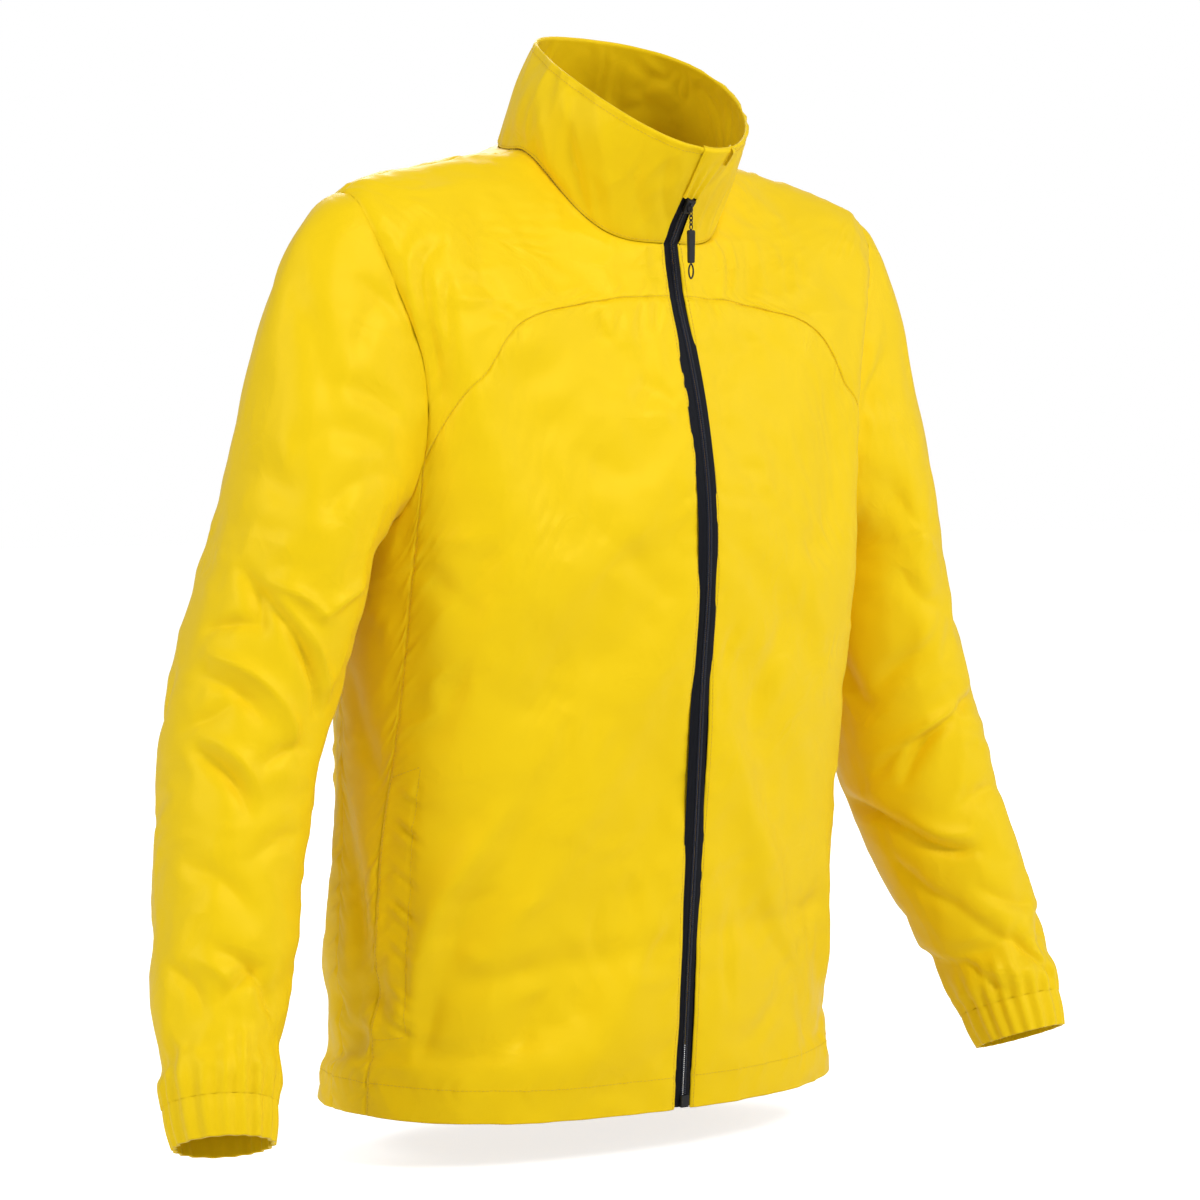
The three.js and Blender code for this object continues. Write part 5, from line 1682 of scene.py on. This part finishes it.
class JACKET_OT_zip_hardware(bpy.types.Operator):
    """Makes the slider, its pull and the bottom box"""
    bl_idname = "jacket.zip_hardware"
    bl_label = "Slider and pull"

    def execute(self, context):
        metal = black_material("coated_metal", 0.32, 0.7, (0.02, 0.02, 0.024))
        moulded = black_material("moulded_black", 0.4, 0.0, (0.008, 0.009, 0.011))
        rubber = black_material("grip_rubber", 0.5, 0.0, (0.008, 0.008, 0.009))
        slider = softened("slider_body", "zip_slider", 0.7)
        finish_piece(slider, "jacket", metal, ["zip_slider"])
        box = softened("bottom_box", "zip_bottom_box", 0.4)
        finish_piece(box, "jacket", moulded, ["zip_bottom_box"])
        grip = softened("grip_body", "pull_grip", 0.6)
        finish_piece(grip, "pull", rubber, ["pull_grip"])
        self.bail(metal)
        self.chain(metal)
        self.loop(moulded)
        return {"FINISHED"}

    @staticmethod
    def bail(metal):
        """The arched bar of the slider that the pull hangs on."""
        at, normal = zip_place(0.0, zip_end() - SLIDER_AT_BELOW_END)
        up = unit(zip_place(0.0, zip_end() - SLIDER_AT_BELOW_END + 2)[0] - at)
        a = np.linspace(0, 2 * math.pi, 40, endpoint=False)[:, None]
        line = at + normal * 3.6 + up * 3.2 * np.cos(a) + normal * 2.7 * np.sin(a)
        obj = merged_mesh("slider_bail", [ring(line, 0.55)])
        finish_piece(obj, "jacket", metal)

    @staticmethod
    def chain(metal):
        """Small oval links from the slider's bar down to the grip."""
        links = []
        top, length, count = HINGE[2] + 0.9, 16.8, 5
        reach = (length + 1.1 * (count - 1)) / count
        a = np.linspace(0, 2 * math.pi, 28, endpoint=False)
        for i in range(count):
            middle = top - reach / 2 - i * (reach - 1.1)
            across = 1.25 * np.cos(a)
            flat = i % 2 == 0
            line = np.stack([across if flat else 0 * a, 0 * a if flat else across, reach / 2 * np.sin(a)], -1)
            links.append(ring(line + np.array([HINGE[0], HINGE[1], middle]), 0.42))
        obj = merged_mesh("pull_chain", links)
        finish_piece(obj, "pull", metal, ["pull_link"])

    @staticmethod
    def loop(moulded):
        """The pointed loop of cord under the grip."""
        centre = np.array(HINGE) + np.array([0, 0, -15.9 - 0.3 - 24 - 0.3 - 5.5])
        a = np.linspace(0, 2 * math.pi, 48, endpoint=False)
        across = 2.1 * np.sin(a) * np.abs(np.sin(a)) ** 0.3
        line = centre + np.stack([across, 0 * a, 5.3 * np.cos(a)], -1)
        obj = merged_mesh("loop_cord", [ring(line, 0.62)])
        finish_piece(obj, "pull", moulded, ["pull_loop"])


class JACKET_OT_stage(bpy.types.Operator):
    """Makes the floor, the lights and the camera"""
    bl_idname = "jacket.stage"
    bl_label = "Stage"

    def execute(self, context):
        scene = context.scene
        scene.view_settings.view_transform = "Standard"
        world = bpy.data.worlds.new("studio")
        scene.world = world
        world.use_nodes = True
        tree = world.node_tree
        seen = node(tree, "ShaderNodeLightPath").outputs["Is Camera Ray"]
        strength = node(tree, "ShaderNodeMapRange", {"Value": seen, "To Min": 0.4, "To Max": 1.0}).outputs[0]
        tree.nodes["Background"].inputs["Color"].default_value = (1, 1, 1, 1)
        tree.links.new(strength, tree.nodes["Background"].inputs["Strength"])
        bpy.ops.mesh.primitive_plane_add(size=30, location=(0, 0, -0.74))
        floor = context.object
        floor.name = "floor"
        material, tree, shader = new_material("pale_floor", 0.9)
        shader.inputs["Base Color"].default_value = (0.8, 0.8, 0.8, 1)
        shader.inputs["Emission Strength"].default_value = 0.75
        seen = node(tree, "ShaderNodeLightPath").outputs["Is Camera Ray"]
        glow = node(tree, "ShaderNodeMix", {"Factor": seen}, data_type="RGBA")
        glow.inputs["A"].default_value = (0, 0, 0, 1)
        glow.inputs["B"].default_value = (1, 1, 1, 1)
        tree.links.new(glow.outputs["Result"], shader.inputs["Emission Color"])
        floor.data.materials.append(material)
        floor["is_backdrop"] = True
        self.light("key", (0.2, -3.1, 1.9), 0.9, 64)
        self.light("fill", (-3.2, 0.0, 1.2), 0.9, 36)
        self.light("side", (2.6, -2.2, 0.9), 1.2, 18)
        self.light("back", (1.6, 2.6, 1.8), 1.6, 44)
        self.camera(scene)
        return {"FINISHED"}

    @staticmethod
    def light(name, place, size, power):
        """A soft square light that looks at the middle of the jacket."""
        data = bpy.data.lights.new(name, "AREA")
        data.size = size
        data.energy = power
        obj = bpy.data.objects.new(name, data)
        obj.location = place
        obj.rotation_euler = (Vector((0, 0, -0.3)) - Vector(place)).to_track_quat("-Z", "Y").to_euler()
        bpy.context.scene.collection.objects.link(obj)

    @staticmethod
    def camera(scene):
        """The camera at the photograph's viewing angle."""
        turn = math.radians(-37)
        distance = 2.75
        aside = 0.0054
        data = bpy.data.cameras.new("camera")
        data.sensor_width = 36
        data.lens = 110
        camera = bpy.data.objects.new("camera", data)
        right = Vector((math.cos(turn), math.sin(turn), 0))
        back = Vector((math.sin(turn), -math.cos(turn), 0))
        camera.location = back * distance - right * aside + Vector((0, 0, -0.221))
        camera.rotation_euler = (math.radians(90 - 2.34), 0, turn)
        scene.collection.objects.link(camera)
        scene.camera = camera


class JACKET_PT_panel(bpy.types.Panel):
    """Lists the steps that make the jacket"""
    bl_idname = "JACKET_PT_panel"
    bl_label = "Jacket"
    bl_space_type = "VIEW_3D"
    bl_region_type = "UI"
    bl_category = "Jacket"

    def draw(self, context):
        for group in (context.scene.jacket_sizes, context.scene.jacket_colours):
            for name in group.bl_rna.properties.keys():
                if name not in ("rna_type", "name"):
                    self.layout.prop(group, name)
        for step in STEPS:
            self.layout.operator(step.bl_idname)


STEPS = (JACKET_OT_body, JACKET_OT_sleeves, JACKET_OT_cuffs, JACKET_OT_collar, JACKET_OT_inside,
         JACKET_OT_stitching, JACKET_OT_zip, JACKET_OT_zip_hardware, JACKET_OT_stage)
CLASSES = (JacketSizes, JacketColours, *STEPS, JACKET_PT_panel)


def register():
    """Adds the classes and the scene's properties."""
    for item in CLASSES:
        bpy.utils.register_class(item)
    bpy.types.Scene.jacket_sizes = bpy.props.PointerProperty(type=JacketSizes)
    bpy.types.Scene.jacket_colours = bpy.props.PointerProperty(type=JacketColours)


def unregister():
    """Takes them away again."""
    del bpy.types.Scene.jacket_colours
    del bpy.types.Scene.jacket_sizes
    for item in reversed(CLASSES):
        bpy.utils.unregister_class(item)


def main():
    """Makes the whole jacket and reads the bounds of the imported model and of the jacket."""
    register()
    for step in STEPS:
        name = step.bl_idname.split(".")[1]
        getattr(bpy.ops.jacket, name)()
    plain = [[list(corner) for corner in box] for box in (CAD_BOUNDS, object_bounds())]


if __name__ == "__main__":
    main()
